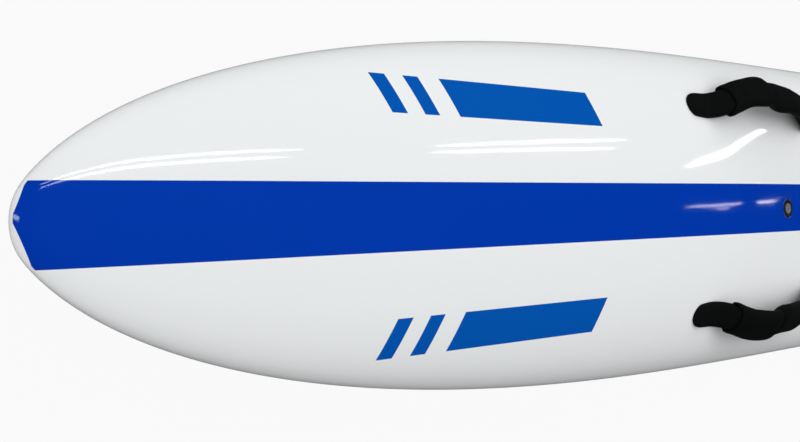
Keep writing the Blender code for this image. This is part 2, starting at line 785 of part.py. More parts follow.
def boot_ring(line, u):
    """Section of a boot: a flat-bottomed tongue at its tip, thickening as it climbs to the cuff."""
    from_tip = HANDLE_LENGTH / 2 - abs(u)
    tip = min(1.0, from_tip / BOOT_TIP_RADIUS)
    width = BOOT_WIDTH * math.sqrt(1 - (1 - tip) ** 2)
    top = BOOT_TIP_TOP + (BOOT_TOP - BOOT_TIP_TOP) * smooth_step(from_tip / BOOT_TIP_RISE)
    climb = smooth_step((STRAP_LANDING - abs(u)) / (STRAP_LANDING - SLEEVE_LENGTH / 2))
    landed = STRAP_THICKNESS / 2
    upper = (top - GAP - landed) * (1 - climb) + BOOT_CUFF_TOP * climb
    lower = landed * (1 - climb) + BOOT_CUFF_BOTTOM * climb
    outline = []
    for step in range(BOOT_SECTION_STEPS + 1):
        angle = math.pi * step / BOOT_SECTION_STEPS
        across = math.copysign(abs(math.cos(angle)) ** BOOT_CORNER_POWER, math.cos(angle))
        rise = math.sin(angle) ** BOOT_CORNER_POWER
        outline.append((across * width / 2, -lower + (upper + lower) * rise))
    return line.ring(u, outline)


def build_screw_set(label, frame, strap, boot, deck_skin, foam):
    """Insert, washer and screw under one boot, in the frame where the strap's end lies."""
    strap_top = GAP + STRAP_THICKNESS
    washer_top = strap_top + GAP + WASHER_THICKNESS
    head_base = washer_top + GAP
    head_top = head_base + SCREW_HEAD_THICKNESS
    bore = SCREW_RADIUS + SCREW_CLEARANCE
    screw_end = head_base - SCREW_LENGTH
    insert = (
        (0.0, screw_end - GAP),
        (bore, screw_end - GAP),
        (bore, 0.0),
        (INSERT_FLANGE_RADIUS, 0.0),
        (INSERT_FLANGE_RADIUS, -INSERT_FLANGE),
        (INSERT_RADIUS, -INSERT_FLANGE),
        (INSERT_RADIUS, -INSERT_DEPTH),
        (0.0, -INSERT_DEPTH),
    )
    turned(label.format("insert"), insert, frame, BLACK_PLASTIC, SMALL_ROUND_STEPS)
    washer = (
        (bore, strap_top + GAP),
        (WASHER_RADIUS, strap_top + GAP),
        (WASHER_RADIUS, washer_top),
        (bore, washer_top),
    )
    turned(label.format("washer"), washer, frame, STAINLESS, SMALL_ROUND_STEPS, closed=True)
    crown = SCREW_HEAD_THICKNESS / 3
    screw = (
        (0.0, head_top),
        (SCREW_HEAD_RADIUS * 0.8, head_top - crown / 4),
        (SCREW_HEAD_RADIUS, head_top - crown),
        (SCREW_HEAD_RADIUS, head_base),
        (SCREW_RADIUS, head_base),
        (SCREW_RADIUS, screw_end + SCREW_RADIUS),
        (SCREW_RADIUS / 2, screw_end),
        (0.0, screw_end),
    )
    turned(label.format("screw"), screw, frame, STAINLESS, SMALL_ROUND_STEPS)

    hole = round_cutter(label.format("hole_cutter"), frame, bore, -INSERT_FLANGE)
    pocket_top = head_top + GAP
    pocket = round_cutter(
        label.format("pocket_cutter"), frame, WASHER_RADIUS + GAP, -INSERT_FLANGE, pocket_top
    )
    flange_well = round_cutter(
        label.format("flange_cutter"), frame, INSERT_FLANGE_RADIUS + GAP, -SKIN * 2
    )
    well = round_cutter(
        label.format("well_cutter"), frame, INSERT_RADIUS + GAP, -INSERT_DEPTH - GAP
    )
    cut(strap, hole)
    cut(boot, pocket)
    cut(deck_skin, flange_well)
    cut(foam, well)


def build_handle(label, line, deck_skin, core):
    """One handle: strap, sleeve, two boots and the screws under them."""
    tip = HANDLE_LENGTH / 2
    cuff = SLEEVE_LENGTH / 2
    anchor = tip - ANCHOR_FROM_TIP
    strap_end = tip - STRAP_END_COVER

    ramp = spread(cuff, STRAP_LANDING, 4)
    arch = [cuff * math.sin(turn) for turn in spread(0.0, math.pi / 2, 6)]
    half = arch[:-1] + ramp + [strap_end]
    path = [-u for u in reversed(half[1:])] + half
    strap = lofted(f"{label}_strap", [line.ring(u, strap_outline()) for u in path], BLACK_RUBBER)
    overrun = strap_end + STRAP_ROOM_OVERRUN
    room_path = [-overrun] + path[1:-1] + [overrun]
    room_rings = [line.ring(u, strap_outline(GAP)) for u in room_path]
    room = lofted(f"{label}_room_cutter", room_rings, None)

    pivot = line.deck(0.0) + line.normal * STRAP_THICKNESS
    sleeve_path = [-u for u in reversed(arch[1:])] + arch
    sleeve_rings = [sleeve_ring(line, u) for u in sleeve_path]
    sleeve = lofted(f"{label}_grip", sleeve_rings, BLACK_RUBBER, origin=pivot)
    cut(sleeve, room)

    for end_name, end in ENDS.items():
        tip_turns = spread(BOOT_TIP_MARGIN, math.pi / 2, 5)
        tip_steps = [tip - BOOT_TIP_RADIUS * (1 - math.cos(turn)) for turn in tip_turns]
        climb = [STRAP_LANDING] + ramp[-2:0:-1] + [cuff + GAP]
        rings = [boot_ring(line, end * u) for u in tip_steps + climb]
        boot = lofted(f"{label}_boot_{end_name}", rings, BLACK_RUBBER)
        cut(boot, room)
        frame = line.frame(end * anchor)
        build_screw_set(f"{label}_{{}}_{end_name}", frame, strap, boot, deck_skin, core)


def fin_box_frame():
    """Frame on the bottom at the fin box's middle: X aft along the bottom, Z up into the board."""
    middle = BOARD_LENGTH - FIN_BOX_FROM_TAIL
    half = FIN_BOX_LENGTH / 2
    fore = bottom_point(middle - half, 0.0, 0.0)
    aft = bottom_point(middle + half, 0.0, 0.0)
    ahead = aft - fore
    up = Vector((0, -1, 0)).cross(ahead)
    return frame_at((fore + aft) / 2, ahead, up)


def build_fin_box(hull_skin, foam):
    """Box let into the bottom, with a slot for the fin's tab and side channels for its pin."""
    frame = fin_box_frame()
    corner = FIN_BOX_WIDTH / 4
    outline = rounded_outline(FIN_BOX_LENGTH, FIN_BOX_WIDTH, corner)
    box = prism("fin_box", outline, 0.0, FIN_BOX_DEPTH, frame, BLACK_PLASTIC)
    slot = rounded_outline(FIN_SLOT_LENGTH, FIN_SLOT_WIDTH, FIN_SLOT_WIDTH / 2)
    channel = rounded_outline(FIN_SLOT_LENGTH - FIN_SLOT_WIDTH, PIN_CHANNEL_WIDTH, FIN_SLOT_WIDTH / 4)
    gate = rounded_outline(PIN_GATE_LENGTH, PIN_CHANNEL_WIDTH, FIN_SLOT_WIDTH / 4)
    channel_top = PIN_CHANNEL_BASE + PIN_CHANNEL_HEIGHT
    cut(
        box,
        prism("fin_slot_cutter", slot, -CUTTER_OVERRUN, FIN_SLOT_DEPTH, frame, None),
        prism("pin_channel_cutter", channel, PIN_CHANNEL_BASE, channel_top, frame, None),
        prism("pin_gate_cutter", gate, -PIN_GATE_OVERRUN, channel_top - GAP, frame, None),
    )
    room = rounded_outline(FIN_BOX_LENGTH + 2 * GAP, FIN_BOX_WIDTH + 2 * GAP, corner + GAP)
    well = prism("fin_box_cutter", room, -BOX_WELL_OVERRUN, FIN_BOX_DEPTH + GAP, frame, None)
    cut(hull_skin, well)
    cut_each(foam, well)
    return frame


def fin_section(down):
    """Section of the fin at a share of its depth: a thin foil, raked aft and closing at the tip."""
    waist = 1 - FIN_WAIST * math.sin(math.pi * down)
    half_chord = FIN_BASE / 2 * (1 - down**FIN_TIP_POWER) ** FIN_TIP_ROUNDNESS * waist
    middle = FIN_RAKE * down**FIN_RAKE_POWER
    thick = FIN_THICKNESS * (1 - FIN_TIP_THINNING * down)
    ring = []
    for step in range(FIN_SECTION_POINTS):
        angle = 2 * math.pi * step / FIN_SECTION_POINTS
        along = -math.cos(angle)
        belly = math.copysign(abs(math.sin(angle)) ** FIN_BELLY_POWER, math.sin(angle))
        ring.append((middle + half_chord * along, thick / 2 * belly * (1 - FIN_BELLY_SHIFT * along)))
    return ring


def build_fin(box_frame):
    """Fin with its tab, the pin and the screw that hold it, and the nut plate in the channel."""
    clearance = GAP * 2
    bm = bmesh.new()
    shares = [math.sin(turn) for turn in spread(0.0, math.pi / 2 - FIN_TIP_MARGIN, FIN_STATIONS)]
    rings = []
    for share in shares:
        depth = -clearance - FIN_DEPTH * share
        rings.append([Vector((x, y, depth)) for x, y in fin_section(share)])
    add_loft(bm, rings)
    finished(bm)
    fin = make_object("fin", bm, BLACK_PLASTIC, frame=box_frame)

    tab_outline = rounded_outline(FIN_TAB_LENGTH, FIN_THICKNESS, FIN_THICKNESS / 2 - GAP)
    tab = prism("fin_tab_join", tab_outline, -FIN_TONGUE_HEIGHT, FIN_TAB_HEIGHT, box_frame, None)
    tongue_middle = -(FIN_TAB_LENGTH + FIN_TONGUE_LENGTH) / 2 + FIN_THICKNESS / 2
    tongue_length = FIN_TONGUE_LENGTH + FIN_THICKNESS
    tongue_base = FIN_SCREW_HEAD_THICKNESS + GAP
    tongue_top = tongue_base + FIN_TONGUE_HEIGHT
    tongue_outline = rounded_outline(tongue_length, FIN_THICKNESS, FIN_THICKNESS / 4, middle=tongue_middle)
    tongue = prism("fin_tongue_join", tongue_outline, tongue_base, tongue_top, box_frame, None)
    for extra in (tab, tongue):
        modifier = fin.modifiers.new(extra.name, "BOOLEAN")
        modifier.operation = "UNION"
        modifier.solver = "EXACT"
        modifier.object = extra

    channel_middle = PIN_CHANNEL_BASE + PIN_CHANNEL_HEIGHT / 2
    pin_x = FIN_TAB_LENGTH / 2 - FIN_PIN_FROM_END
    across = Matrix.Translation((pin_x, 0.0, channel_middle)) @ Matrix.Rotation(math.pi / 2, 4, "X")
    pin_frame = box_frame @ across
    half = FIN_PIN_LENGTH / 2
    pin = ((0.0, half), (FIN_PIN_RADIUS, half), (FIN_PIN_RADIUS, -half), (0.0, -half))
    turned("fin_pin", pin, pin_frame, STAINLESS, SMALL_ROUND_STEPS)
    cut(fin, round_cutter("fin_pin_cutter", pin_frame, FIN_PIN_RADIUS + GAP, -2 * half, 2 * half))

    screw_x = -(FIN_TAB_LENGTH + FIN_TONGUE_LENGTH) / 2
    screw_frame = box_frame @ Matrix.Translation((screw_x, 0.0, 0.0))
    screw_top = FIN_SLOT_DEPTH - 5 * GAP
    head_base = tongue_base - GAP
    screw = (
        (0.0, screw_top),
        (FIN_SCREW_RADIUS, screw_top),
        (FIN_SCREW_RADIUS, head_base),
        (FIN_SCREW_HEAD_RADIUS, head_base),
        (FIN_SCREW_HEAD_RADIUS, head_base - FIN_SCREW_HEAD_THICKNESS / 2),
        (FIN_SCREW_RADIUS, head_base - FIN_SCREW_HEAD_THICKNESS),
        (0.0, head_base - FIN_SCREW_HEAD_THICKNESS),
    )
    turned("fin_screw", screw, screw_frame, STAINLESS, SMALL_ROUND_STEPS)
    plate_base = channel_middle - NUT_PLATE_THICKNESS / 2
    plate_outline = rounded_outline(NUT_PLATE_LENGTH, NUT_PLATE_WIDTH, FIN_SCREW_RADIUS)
    plate_top = plate_base + NUT_PLATE_THICKNESS
    plate = prism("fin_nut_plate", plate_outline, plate_base, plate_top, screw_frame, BRASS)
    shank_room = round_cutter(
        "fin_screw_cutter", screw_frame, FIN_SCREW_RADIUS + GAP, head_base - GAP / 2, FIN_BOX_DEPTH
    )
    cut(fin, shank_room)
    cut(plate, shank_room)


def build_board():
    """Every piece of the board, from the core outwards."""
    for obj in list(bpy.data.objects):
        bpy.data.objects.remove(obj, do_unlink=True)
    shell = build_shell()
    core_port, core_starboard, stringer = build_cores()
    cores = {"port": core_port, "starboard": core_starboard}
    foam = (core_port, core_starboard, stringer)
    build_pads()
    build_vent(shell["deck_skin"], foam)
    rear_station = BOARD_LENGTH - REAR_HANDLE_FROM_TAIL
    pairs = {
        "front": (FRONT_HANDLE_STATION, FRONT_HANDLE_RAIL_INSET, FRONT_HANDLE_TOE),
        "rear": (rear_station, REAR_HANDLE_RAIL_INSET, REAR_HANDLE_TOE),
    }
    for pair, place in pairs.items():
        for side_name, side in SIDES.items():
            line = HandleLine(side, *place)
            build_handle(f"{pair}_{side_name}", line, shell["deck_skin"], cores[side_name])
    frame = build_fin_box(shell["hull_skin"], foam)
    build_fin(frame)


build_board()
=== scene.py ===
# %% [markdown]
# # A rescue paddleboard, finished for the camera
#
# The imported model already has every solid in its place, with its joints. This script gives the board
# what solids with flat facets can't: a fair gloss shell with its painted stripe, arched padded handles,
# grooved pads, a smooth fin, light and a camera. It never moves a solid. It either paints it or
# hides it and puts a finer piece in the same place.

# %% Load the imported board and keep its box
import math

import bpy
import numpy as np
from mathutils import Matrix, Vector


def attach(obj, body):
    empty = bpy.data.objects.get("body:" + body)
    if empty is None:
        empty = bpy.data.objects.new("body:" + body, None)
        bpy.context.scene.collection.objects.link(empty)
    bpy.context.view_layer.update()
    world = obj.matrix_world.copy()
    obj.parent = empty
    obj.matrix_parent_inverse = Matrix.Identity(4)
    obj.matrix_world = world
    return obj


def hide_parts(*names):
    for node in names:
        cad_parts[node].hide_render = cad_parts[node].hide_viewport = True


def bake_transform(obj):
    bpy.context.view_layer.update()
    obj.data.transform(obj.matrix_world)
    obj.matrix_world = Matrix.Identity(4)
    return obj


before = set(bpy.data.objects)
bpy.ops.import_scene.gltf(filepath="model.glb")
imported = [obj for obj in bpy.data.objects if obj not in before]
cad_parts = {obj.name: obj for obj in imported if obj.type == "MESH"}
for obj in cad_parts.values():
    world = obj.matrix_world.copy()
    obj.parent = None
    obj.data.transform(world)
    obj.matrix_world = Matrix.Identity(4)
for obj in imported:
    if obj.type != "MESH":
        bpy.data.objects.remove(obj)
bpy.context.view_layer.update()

# %% [markdown]
# ## The board's sizes
#
# A shaper describes a board by an outline, a rocker line, a thickness line and a cross-section. The
# solids were lofted from such formulas, so the finer surface repeats them. Stations run from the tip
# of the nose, and the board's middle is at X = 0.

# %% Sizes, in metres, as the solids have them
LENGTH = 3.2
HALF_WIDTH = 0.28575
WIDE_POINT = 1.55
NOSE_POWER, NOSE_ROUNDNESS = 3.0, 1.81
NOSE_BLUNTING, NOSE_BLUNT_LENGTH = 0.057, 0.014
TAIL_HALF_WIDTH, TAIL_POWER, TAIL_CORNER = 0.09, 3.1, 0.06
THICKNESS, THICK_POINT, NOSE_FULLNESS = 0.155, 1.15, 0.68
TAIL_THICKNESS, TAIL_TAPER_POWER, TAIL_EDGE = 0.045, 2.24, 0.02
NOSE_ROCKER, NOSE_ROCKER_LENGTH, NOSE_ROCKER_POWER = 0.148, 1.5, 3.0
TAIL_ROCKER, TAIL_ROCKER_LENGTH, TAIL_ROCKER_POWER = 0.055, 1.3, 2.2
APEX_SHARE, DECK_POWER, FLAT_SHARE = 0.445, 2.3, 0.45
DISH_DEPTH, DISH_HALF_WIDTH = 0.012, 0.19
DISH_START, DISH_RAMP, DISH_END_FROM_TAIL = 1.25, 0.35, 0.35
GAP = 0.0003


def held(value):
    """The value, but no less than 0 and no more than 1."""
    return np.clip(value, 0.0, 1.0)


def smooth_step(share):
    """Cubic rise from 0 to 1: 3 t squared less 2 t cubed, with t held between 0 and 1."""
    t = held(share)
    return t * t * (3 - 2 * t)


def bell(away, width):
    """1 in the middle, falling off as e to the minus square of the distance over the width."""
    return np.exp(-((away / width) ** 2))


def signed_power(value, power):
    """Size of the value raised to a power, with the value's own sign."""
    return np.sign(value) * np.abs(value) ** power


def full_turn(steps):
    """Even angles once round, without the last, which would be the first again."""
    return np.linspace(0.0, 2 * math.pi, steps, endpoint=False)


def half_width(s):
    """Ahead of the wide point a power curve of a power curve, blunter at the very tip; aft of it a
    power taper, less the tail's corner, which is a quarter circle."""
    ahead = held(1 - s / WIDE_POINT)
    aft = held((s - WIDE_POINT) / (LENGTH - WIDE_POINT))
    blunting = NOSE_BLUNTING * np.exp(-s / NOSE_BLUNT_LENGTH)
    nose = HALF_WIDTH * (1 - ahead**NOSE_POWER) ** (1 / NOSE_ROUNDNESS - blunting)
    tail = HALF_WIDTH - (HALF_WIDTH - TAIL_HALF_WIDTH) * aft**TAIL_POWER
    corner = np.clip(s - (LENGTH - TAIL_CORNER), 0.0, TAIL_CORNER)
    return np.where(s < WIDE_POINT, nose, tail) - TAIL_CORNER + np.sqrt(TAIL_CORNER**2 - corner**2)


def bottom_height(s):
    """Rocker: a power curve up to the nose, a flat, and a power curve up to the tail."""
    nose = held(1 - s / NOSE_ROCKER_LENGTH) ** NOSE_ROCKER_POWER
    tail = held((s - LENGTH + TAIL_ROCKER_LENGTH) / TAIL_ROCKER_LENGTH) ** TAIL_ROCKER_POWER
    return NOSE_ROCKER * nose + TAIL_ROCKER * tail


def thickness(s):
    """Full at the thick point, rounding down to nothing at the nose and tapering to the tail."""
    ahead = held(1 - s / THICK_POINT)
    aft = held((s - THICK_POINT) / (LENGTH - THICK_POINT))
    nose = THICKNESS * (1 - ahead**2) ** NOSE_FULLNESS
    tail = THICKNESS - (THICKNESS - TAIL_THICKNESS) * aft**TAIL_TAPER_POWER
    return np.where(s < THICK_POINT, nose, tail)


def edge_rounding(s):
    """Quarter circle in side view over the last of the tail."""
    into = held((s - (LENGTH - TAIL_EDGE)) / TAIL_EDGE)
    return np.sqrt(1 - into**2)


def dish(s, y):
    """Hollow for the knees: a bell across the deck, faded in and out along it."""
    along = smooth_step((s - DISH_START) / DISH_RAMP)
    along = along * smooth_step((LENGTH - DISH_END_FROM_TAIL - s) / DISH_RAMP)
    return DISH_DEPTH * along * np.clip(1 - (y / DISH_HALF_WIDTH) ** 2, 0.0, None) ** 2


def apex_height(s):
    """Height of the rail's widest line."""
    return bottom_height(s) + APEX_SHARE * thickness(s)


def deck_surface(s, share):
    """Deck at a share of the half width: a superellipse over the rail's apex, less the dish."""
    y = half_width(s) * share
    rise = (1 - APEX_SHARE) * thickness(s) * edge_rounding(s)
    fullness = held(1 - np.abs(share) ** DECK_POWER) ** (1 / DECK_POWER)
    z = apex_height(s) + rise * fullness - dish(s, y)
    return np.stack(np.broadcast_arrays(s - LENGTH / 2, y, z), axis=-1)


def bottom_surface(s, out, turn):
    """Bottom: out is the share across the flat, turn the angle up the elliptical rail."""
    y = half_width(s) * (FLAT_SHARE * out + (1 - FLAT_SHARE) * np.sign(out) * np.sin(turn))
    drop = APEX_SHARE * thickness(s) * edge_rounding(s)
    z = apex_height(s) - drop * np.cos(turn)
    return np.stack(np.broadcast_arrays(s - LENGTH / 2, y, z), axis=-1)


def unit(vectors):
    """Vectors over their own lengths."""
    return vectors / np.linalg.norm(vectors, axis=-1, keepdims=True)


def on_deck(s, y):
    """Deck point over a place on the plan."""
    return deck_surface(s, y / half_width(s))


def deck_normal(s, y, step=0.002):
    """Cross product of two short chords of the deck, one along it and one across."""
    along = on_deck(s + step, y) - on_deck(s - step, y)
    across = on_deck(s, y + step) - on_deck(s, y - step)
    return unit(np.cross(along, across))


print("deck height at mid-length", on_deck(LENGTH / 2, 0.0)[2].round(4), "m")

# %% [markdown]
# ## Surfaces from arrays
#
# Almost every piece here is a tube in the widest sense: a row of closed sections, carried from one
# end of the piece to the other. The points are worked out as one array, and the faces follow from the
# array's shape alone. A piece that is turned inside out shows by its volume, which is then negative.

# %% Turn rows of sections into a closed mesh
SHARP_ANGLE = math.radians(38)


def tube_faces(rows, columns, ring_of_rings=False):
    """Quads between neighbouring sections. Point j of section i has the number i times columns plus j.
    The ends are fans to two more points, unless the last section meets the first again."""
    last = rows if ring_of_rings else rows - 1
    i, j = np.meshgrid(np.arange(last), np.arange(columns), indexing="ij")
    across = (j + 1) % columns
    onward = (i + 1) % rows
    corners = (i * columns + j, onward * columns + j, onward * columns + across, i * columns + across)
    faces = np.stack(corners, axis=-1).reshape(-1, 4).tolist()
    if not ring_of_rings:
        j = np.arange(columns)
        across = (j + 1) % columns
        start, end = rows * columns, rows * columns + 1
        foot = (rows - 1) * columns
        faces += np.stack([np.full(columns, start), j, across], axis=-1).tolist()
        faces += np.stack([np.full(columns, end), foot + across, foot + j], axis=-1).tolist()
    return faces


def signed_volume(points, faces):
    """Sum of the triple products of every triangle's corners over six."""
    triangles = [face[:3] for face in faces] + [[f[0], f[2], f[3]] for f in faces if len(f) == 4]
    corners = points[np.array(triangles)]
    return np.einsum("ij,ij->i", corners[:, 0], np.cross(corners[:, 1], corners[:, 2])).sum() / 6


def add_object(name, data):
    """Puts a mesh, a lamp or a camera into the scene."""
    made = bpy.data.objects.new(name, data)
    bpy.context.scene.collection.objects.link(made)
    return made


def make_mesh(name, points, faces, values=None):
    """Mesh object at the origin, with named values kept on its points for the finish to read."""
    if signed_volume(points, faces) < 0:
        faces = [face[::-1] for face in faces]
    mesh = bpy.data.meshes.new(name)
    mesh.from_pydata(points.tolist(), [], faces)
    for key, value in (values or {}).items():
        attribute = mesh.attributes.new(key, "FLOAT", "POINT")
        attribute.data.foreach_set("value", value.astype(np.float32).ravel())
    mesh.shade_smooth()
    mesh.set_sharp_from_angle(angle=SHARP_ANGLE)
    return add_object(name, mesh)


def tube(name, sections, ends=None, values=None, ring_of_rings=False):
    """Closed mesh through sections, an array of rows by columns by three. ends are the points that its
    two fans meet in, or by default the middle of the first and of the last section."""
    rows, columns = sections.shape[:2]
    points = sections.reshape(-1, 3)
    if not ring_of_rings:
        if ends is None:
            ends = (sections[0].mean(axis=0), sections[-1].mean(axis=0))
        points = np.concatenate([points, np.stack(ends)])
        values = {
            key: np.concatenate([value.ravel(), [value[0].mean(), value[-1].mean()]])
            for key, value in (values or {}).items()
        }
    return make_mesh(name, points, tube_faces(rows, columns, ring_of_rings), values)


def carve(piece, operation, *others):
    """Cuts or joins helper meshes for good, so that the piece keeps no live modifier."""
    for other in others:
        modifier = piece.modifiers.new(other.name, "BOOLEAN")
        modifier.operation = operation
        modifier.solver = "EXACT"
        modifier.object = other
    bpy.context.view_layer.update()
    evaluated = piece.evaluated_get(bpy.context.evaluated_depsgraph_get())
    mesh = bpy.data.meshes.new_from_object(evaluated)
    piece.modifiers.clear()
    piece.data = mesh
    mesh.shade_smooth()
    mesh.set_sharp_from_angle(angle=SHARP_ANGLE)
    for other in others:
        bpy.data.objects.remove(other)


def place(piece, finish, body, replaced):
    """Gives a finished piece its material, its body and the solids that it stands for. A piece given
    None for its body stays on no body."""
    piece.data.materials.clear()
    piece.data.materials.append(finish.material)
    if body is not None:
        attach(piece, body)
    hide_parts(*replaced)


print("helpers ready: tube, carve and place")

# %% [markdown]
# ## Shader sums written as sums
#
# A finish is a small calculation at each point of a surface: is this point in the stripe, how high is
# the knit here. Wiring Math nodes one by one hides such a sum, so a socket is wrapped in a class whose
# plus, minus, times and so on add the nodes. Every other node comes from one method.

# %% Wrap sockets so that an expression adds its own nodes
class Link:
    """A number that varies over the surface, on which arithmetic adds Math nodes."""

    def __init__(self, nodes, socket):
        self.nodes = nodes
        self.socket = socket

    def math(self, operation, first, second=0.0):
        return self.nodes.add("ShaderNodeMath", {"operation": operation}, {0: first, 1: second})

    def __add__(self, other):
        return self.math("ADD", self, other)

    __radd__ = __add__

    def __sub__(self, other):
        return self.math("SUBTRACT", self, other)

    def __rsub__(self, other):
        return self.math("SUBTRACT", other, self)

    def __mul__(self, other):
        return self.math("MULTIPLY", self, other)

    __rmul__ = __mul__

    def __abs__(self):
        return self.math("ABSOLUTE", self)

    def sine(self):
        return self.math("SINE", self)

    def below(self, limit, blur=0.0002):
        """1 under the limit and 0 over it, with a thin soft edge that keeps the line clean."""
        ease = {"interpolation_type": "SMOOTHSTEP"}
        ends = {"From Min": limit - blur, "From Max": limit + blur, "To Min": 1.0, "To Max": 0.0}
        return self.nodes.add("ShaderNodeMapRange", ease, {"Value": self, **ends})

    def above(self, limit, blur=0.0002):
        """1 over the limit and 0 under it, with the same soft edge."""
        return 1 - self.below(limit, blur)


class Nodes:
    """A node tree and the one way in which this script adds to it."""

    def __init__(self, tree):
        self.tree = tree

    def add(self, kind, settings=None, values=None, output=0):
        """A node of a kind: its settings first, then the values or links of its inputs."""
        node = self.tree.nodes.new(kind)
        for key, value in (settings or {}).items():
            setattr(node, key, value)
        for key, value in (values or {}).items():
            self.feed(node.inputs[key], value)
        return Link(self, node.outputs[output])

    def feed(self, socket, value):
        if isinstance(value, Link):
            self.tree.links.new(value.socket, socket)
        else:
            socket.default_value = value

    def blend(self, factor, first, second):
        """One colour that turns into another as the factor goes from 0 to 1. The Mix node has sockets
        for colours at 6 and 7, and gives a colour at 2."""
        first, second = (c if isinstance(c, Link) else (*c, 1.0) for c in (first, second))
        return self.add("ShaderNodeMix", {"data_type": "RGBA"}, {0: factor, 6: first, 7: second}, output=2)


class Finish(Nodes):
    """A material whose Principled shader takes plain numbers on its own sockets. Its patterns go by
    the point's place on the whole object, in metres."""

    def __init__(self, name, colour, **plain):
        self.material = bpy.data.materials.new(name)
        self.material.use_nodes = True
        super().__init__(self.material.node_tree)
        self.shader = self.tree.nodes["Principled BSDF"]
        self.whole = self.add("ShaderNodeTexCoord", output="Object")
        self.set("Base Color", (*colour, 1.0))
        for key, value in plain.items():
            self.set(key.replace("_", " ").title().replace("Ior", "IOR"), value)

    def set(self, key, value):
        self.feed(self.shader.inputs[key], value)

    def plan(self):
        """How far the point is along the whole object, and how far across it."""
        return [self.add("ShaderNodeSeparateXYZ", values={0: self.whole}, output=axis) for axis in "XY"]

    def value_of(self, name):
        """A number kept on the piece's points under a name."""
        return self.add("ShaderNodeAttribute", {"attribute_name": name}, output="Fac")

    def noise(self, scale, detail=2.0, roughness=0.5, where=None):
        """Cloudy noise from 0 to 1, with so many clouds a metre of the object, or of another place."""
        values = {"Vector": where or self.whole, "Scale": scale, "Detail": detail, "Roughness": roughness}
        return self.add("ShaderNodeTexNoise", values=values)

    def bump(self, height, distance, strength, onto=None):
        """A normal tilted by a height from 0 to 1 that stands for this distance in metres."""
        values = {"Strength": strength, "Distance": distance, "Height": height}
        if onto is not None:
            values["Normal"] = onto
        return self.add("ShaderNodeBump", values=values)


print("shader helpers ready")

# %% [markdown]
# ## Where the camera stands
#
# The photograph looks down on the nose half from above and ahead of the nose. The camera's height,
# pitch and small roll were fitted to the outline and the stripe, so the frame is the photograph's.

# %% Camera
IMAGE_WIDTH = 800
FOCAL_PIXELS = 972.2
SENSOR = 36.0
CAMERA_PLACE = np.array([-1.8941, -0.0144, 1.1458])
PITCH, YAW, ROLL = math.radians(51.64), math.radians(0.53), math.radians(-1.99)
NEAREST, FARTHEST = 0.05, 200.0


def camera_axes():
    """Forward looks down by the pitch and aside by the yaw; right and up are turned by the roll."""
    heading = np.array([math.cos(YAW), math.sin(YAW), 0.0])
    upright = np.array([0.0, 0.0, 1.0])
    forward = math.cos(PITCH) * heading - math.sin(PITCH) * upright
    level = math.sin(PITCH) * heading + math.cos(PITCH) * upright
    aside = np.cross(level, forward)
    aside = aside * np.sign(aside[1])
    right = math.cos(ROLL) * level + math.sin(ROLL) * aside
    up = -math.sin(ROLL) * level + math.cos(ROLL) * aside
    return right, up, -forward


def make_camera():
    """Camera whose lens gives the photograph's focal length in pixels on a 36 mm sensor."""
    lens = bpy.data.cameras.new("camera")
    lens.sensor_width = SENSOR
    lens.lens = FOCAL_PIXELS * SENSOR / IMAGE_WIDTH
    lens.clip_start, lens.clip_end = NEAREST, FARTHEST
    camera = add_object("camera", lens)
    turn = Matrix([Vector(axis) for axis in camera_axes()]).transposed().to_4x4()
    camera.matrix_world = Matrix.Translation(Vector(CAMERA_PLACE)) @ turn
    bpy.context.scene.camera = camera
    return camera


camera = make_camera()
print("camera lens", camera.data.lens, "mm")

# %% [markdown]
# ## The shell
#
# Under the gloss is glass cloth and resin over a foam core, and nothing on it is flat: a facet would
# show in every reflection. One surface is carried from the tip of the nose to the tail, with closer
# sections where the nose turns. Each section is the deck's superellipse from rail to rail, then the
# elliptical rails and the flat of the bottom. Pockets for the vent and the fin box are cut afterwards.

# %% Sections of the shell
NOSE_ZONE, NOSE_ROWS, MIDDLE_ROWS, TAIL_ROWS = 0.4, 110, 300, 26
DECK_COLUMNS, DECK_CROWDING, RAIL_COLUMNS, FLAT_COLUMNS = 100, 1.25, 18, 8
TAIL_STOP = 0.0001
RIM_POINTS, RIM_NOSE, RIM_TAIL = 900, 0.6, 0.5
RIM_ZONE, RIM_END_POINTS = 0.3, 40


def shell_stations():
    """Squares of even steps at the nose, even steps to the tail's corner, then sines round it."""
    nose = NOSE_ZONE * (np.arange(1, NOSE_ROWS) / NOSE_ROWS) ** 2
    middle = np.linspace(NOSE_ZONE, LENGTH - TAIL_CORNER, MIDDLE_ROWS, endpoint=False)
    corner = np.sin(np.linspace(0.0, math.pi / 2, TAIL_ROWS))
    return np.concatenate([nose, middle, LENGTH - TAIL_CORNER + (TAIL_CORNER - TAIL_STOP) * corner])


def shell_sections(s):
    """Deck from port to starboard by sines, down the starboard rail, over the flat and up to port. The
    power makes the deck's steps shorter towards the rails."""
    s = s[:, None]
    half = 1 - (1 - np.linspace(0.0, 1.0, DECK_COLUMNS // 2 + 1)) ** DECK_CROWDING
    angle = np.concatenate([-half[:0:-1], half]) * math.pi / 2
    deck = deck_surface(s, np.sin(angle)[None, :])
    turn = np.linspace(math.pi / 2, 0.0, RAIL_COLUMNS)[None, 1:]
    starboard = bottom_surface(s, np.ones_like(turn), turn)
    flat = np.linspace(1.0, -1.0, FLAT_COLUMNS)[None, 1:-1]
    middle = bottom_surface(s, flat, np.zeros_like(flat))
    port = bottom_surface(s, -np.ones_like(turn), turn)[:, ::-1]
    return np.concatenate([deck, starboard, middle, port], axis=1), deck.shape[1]


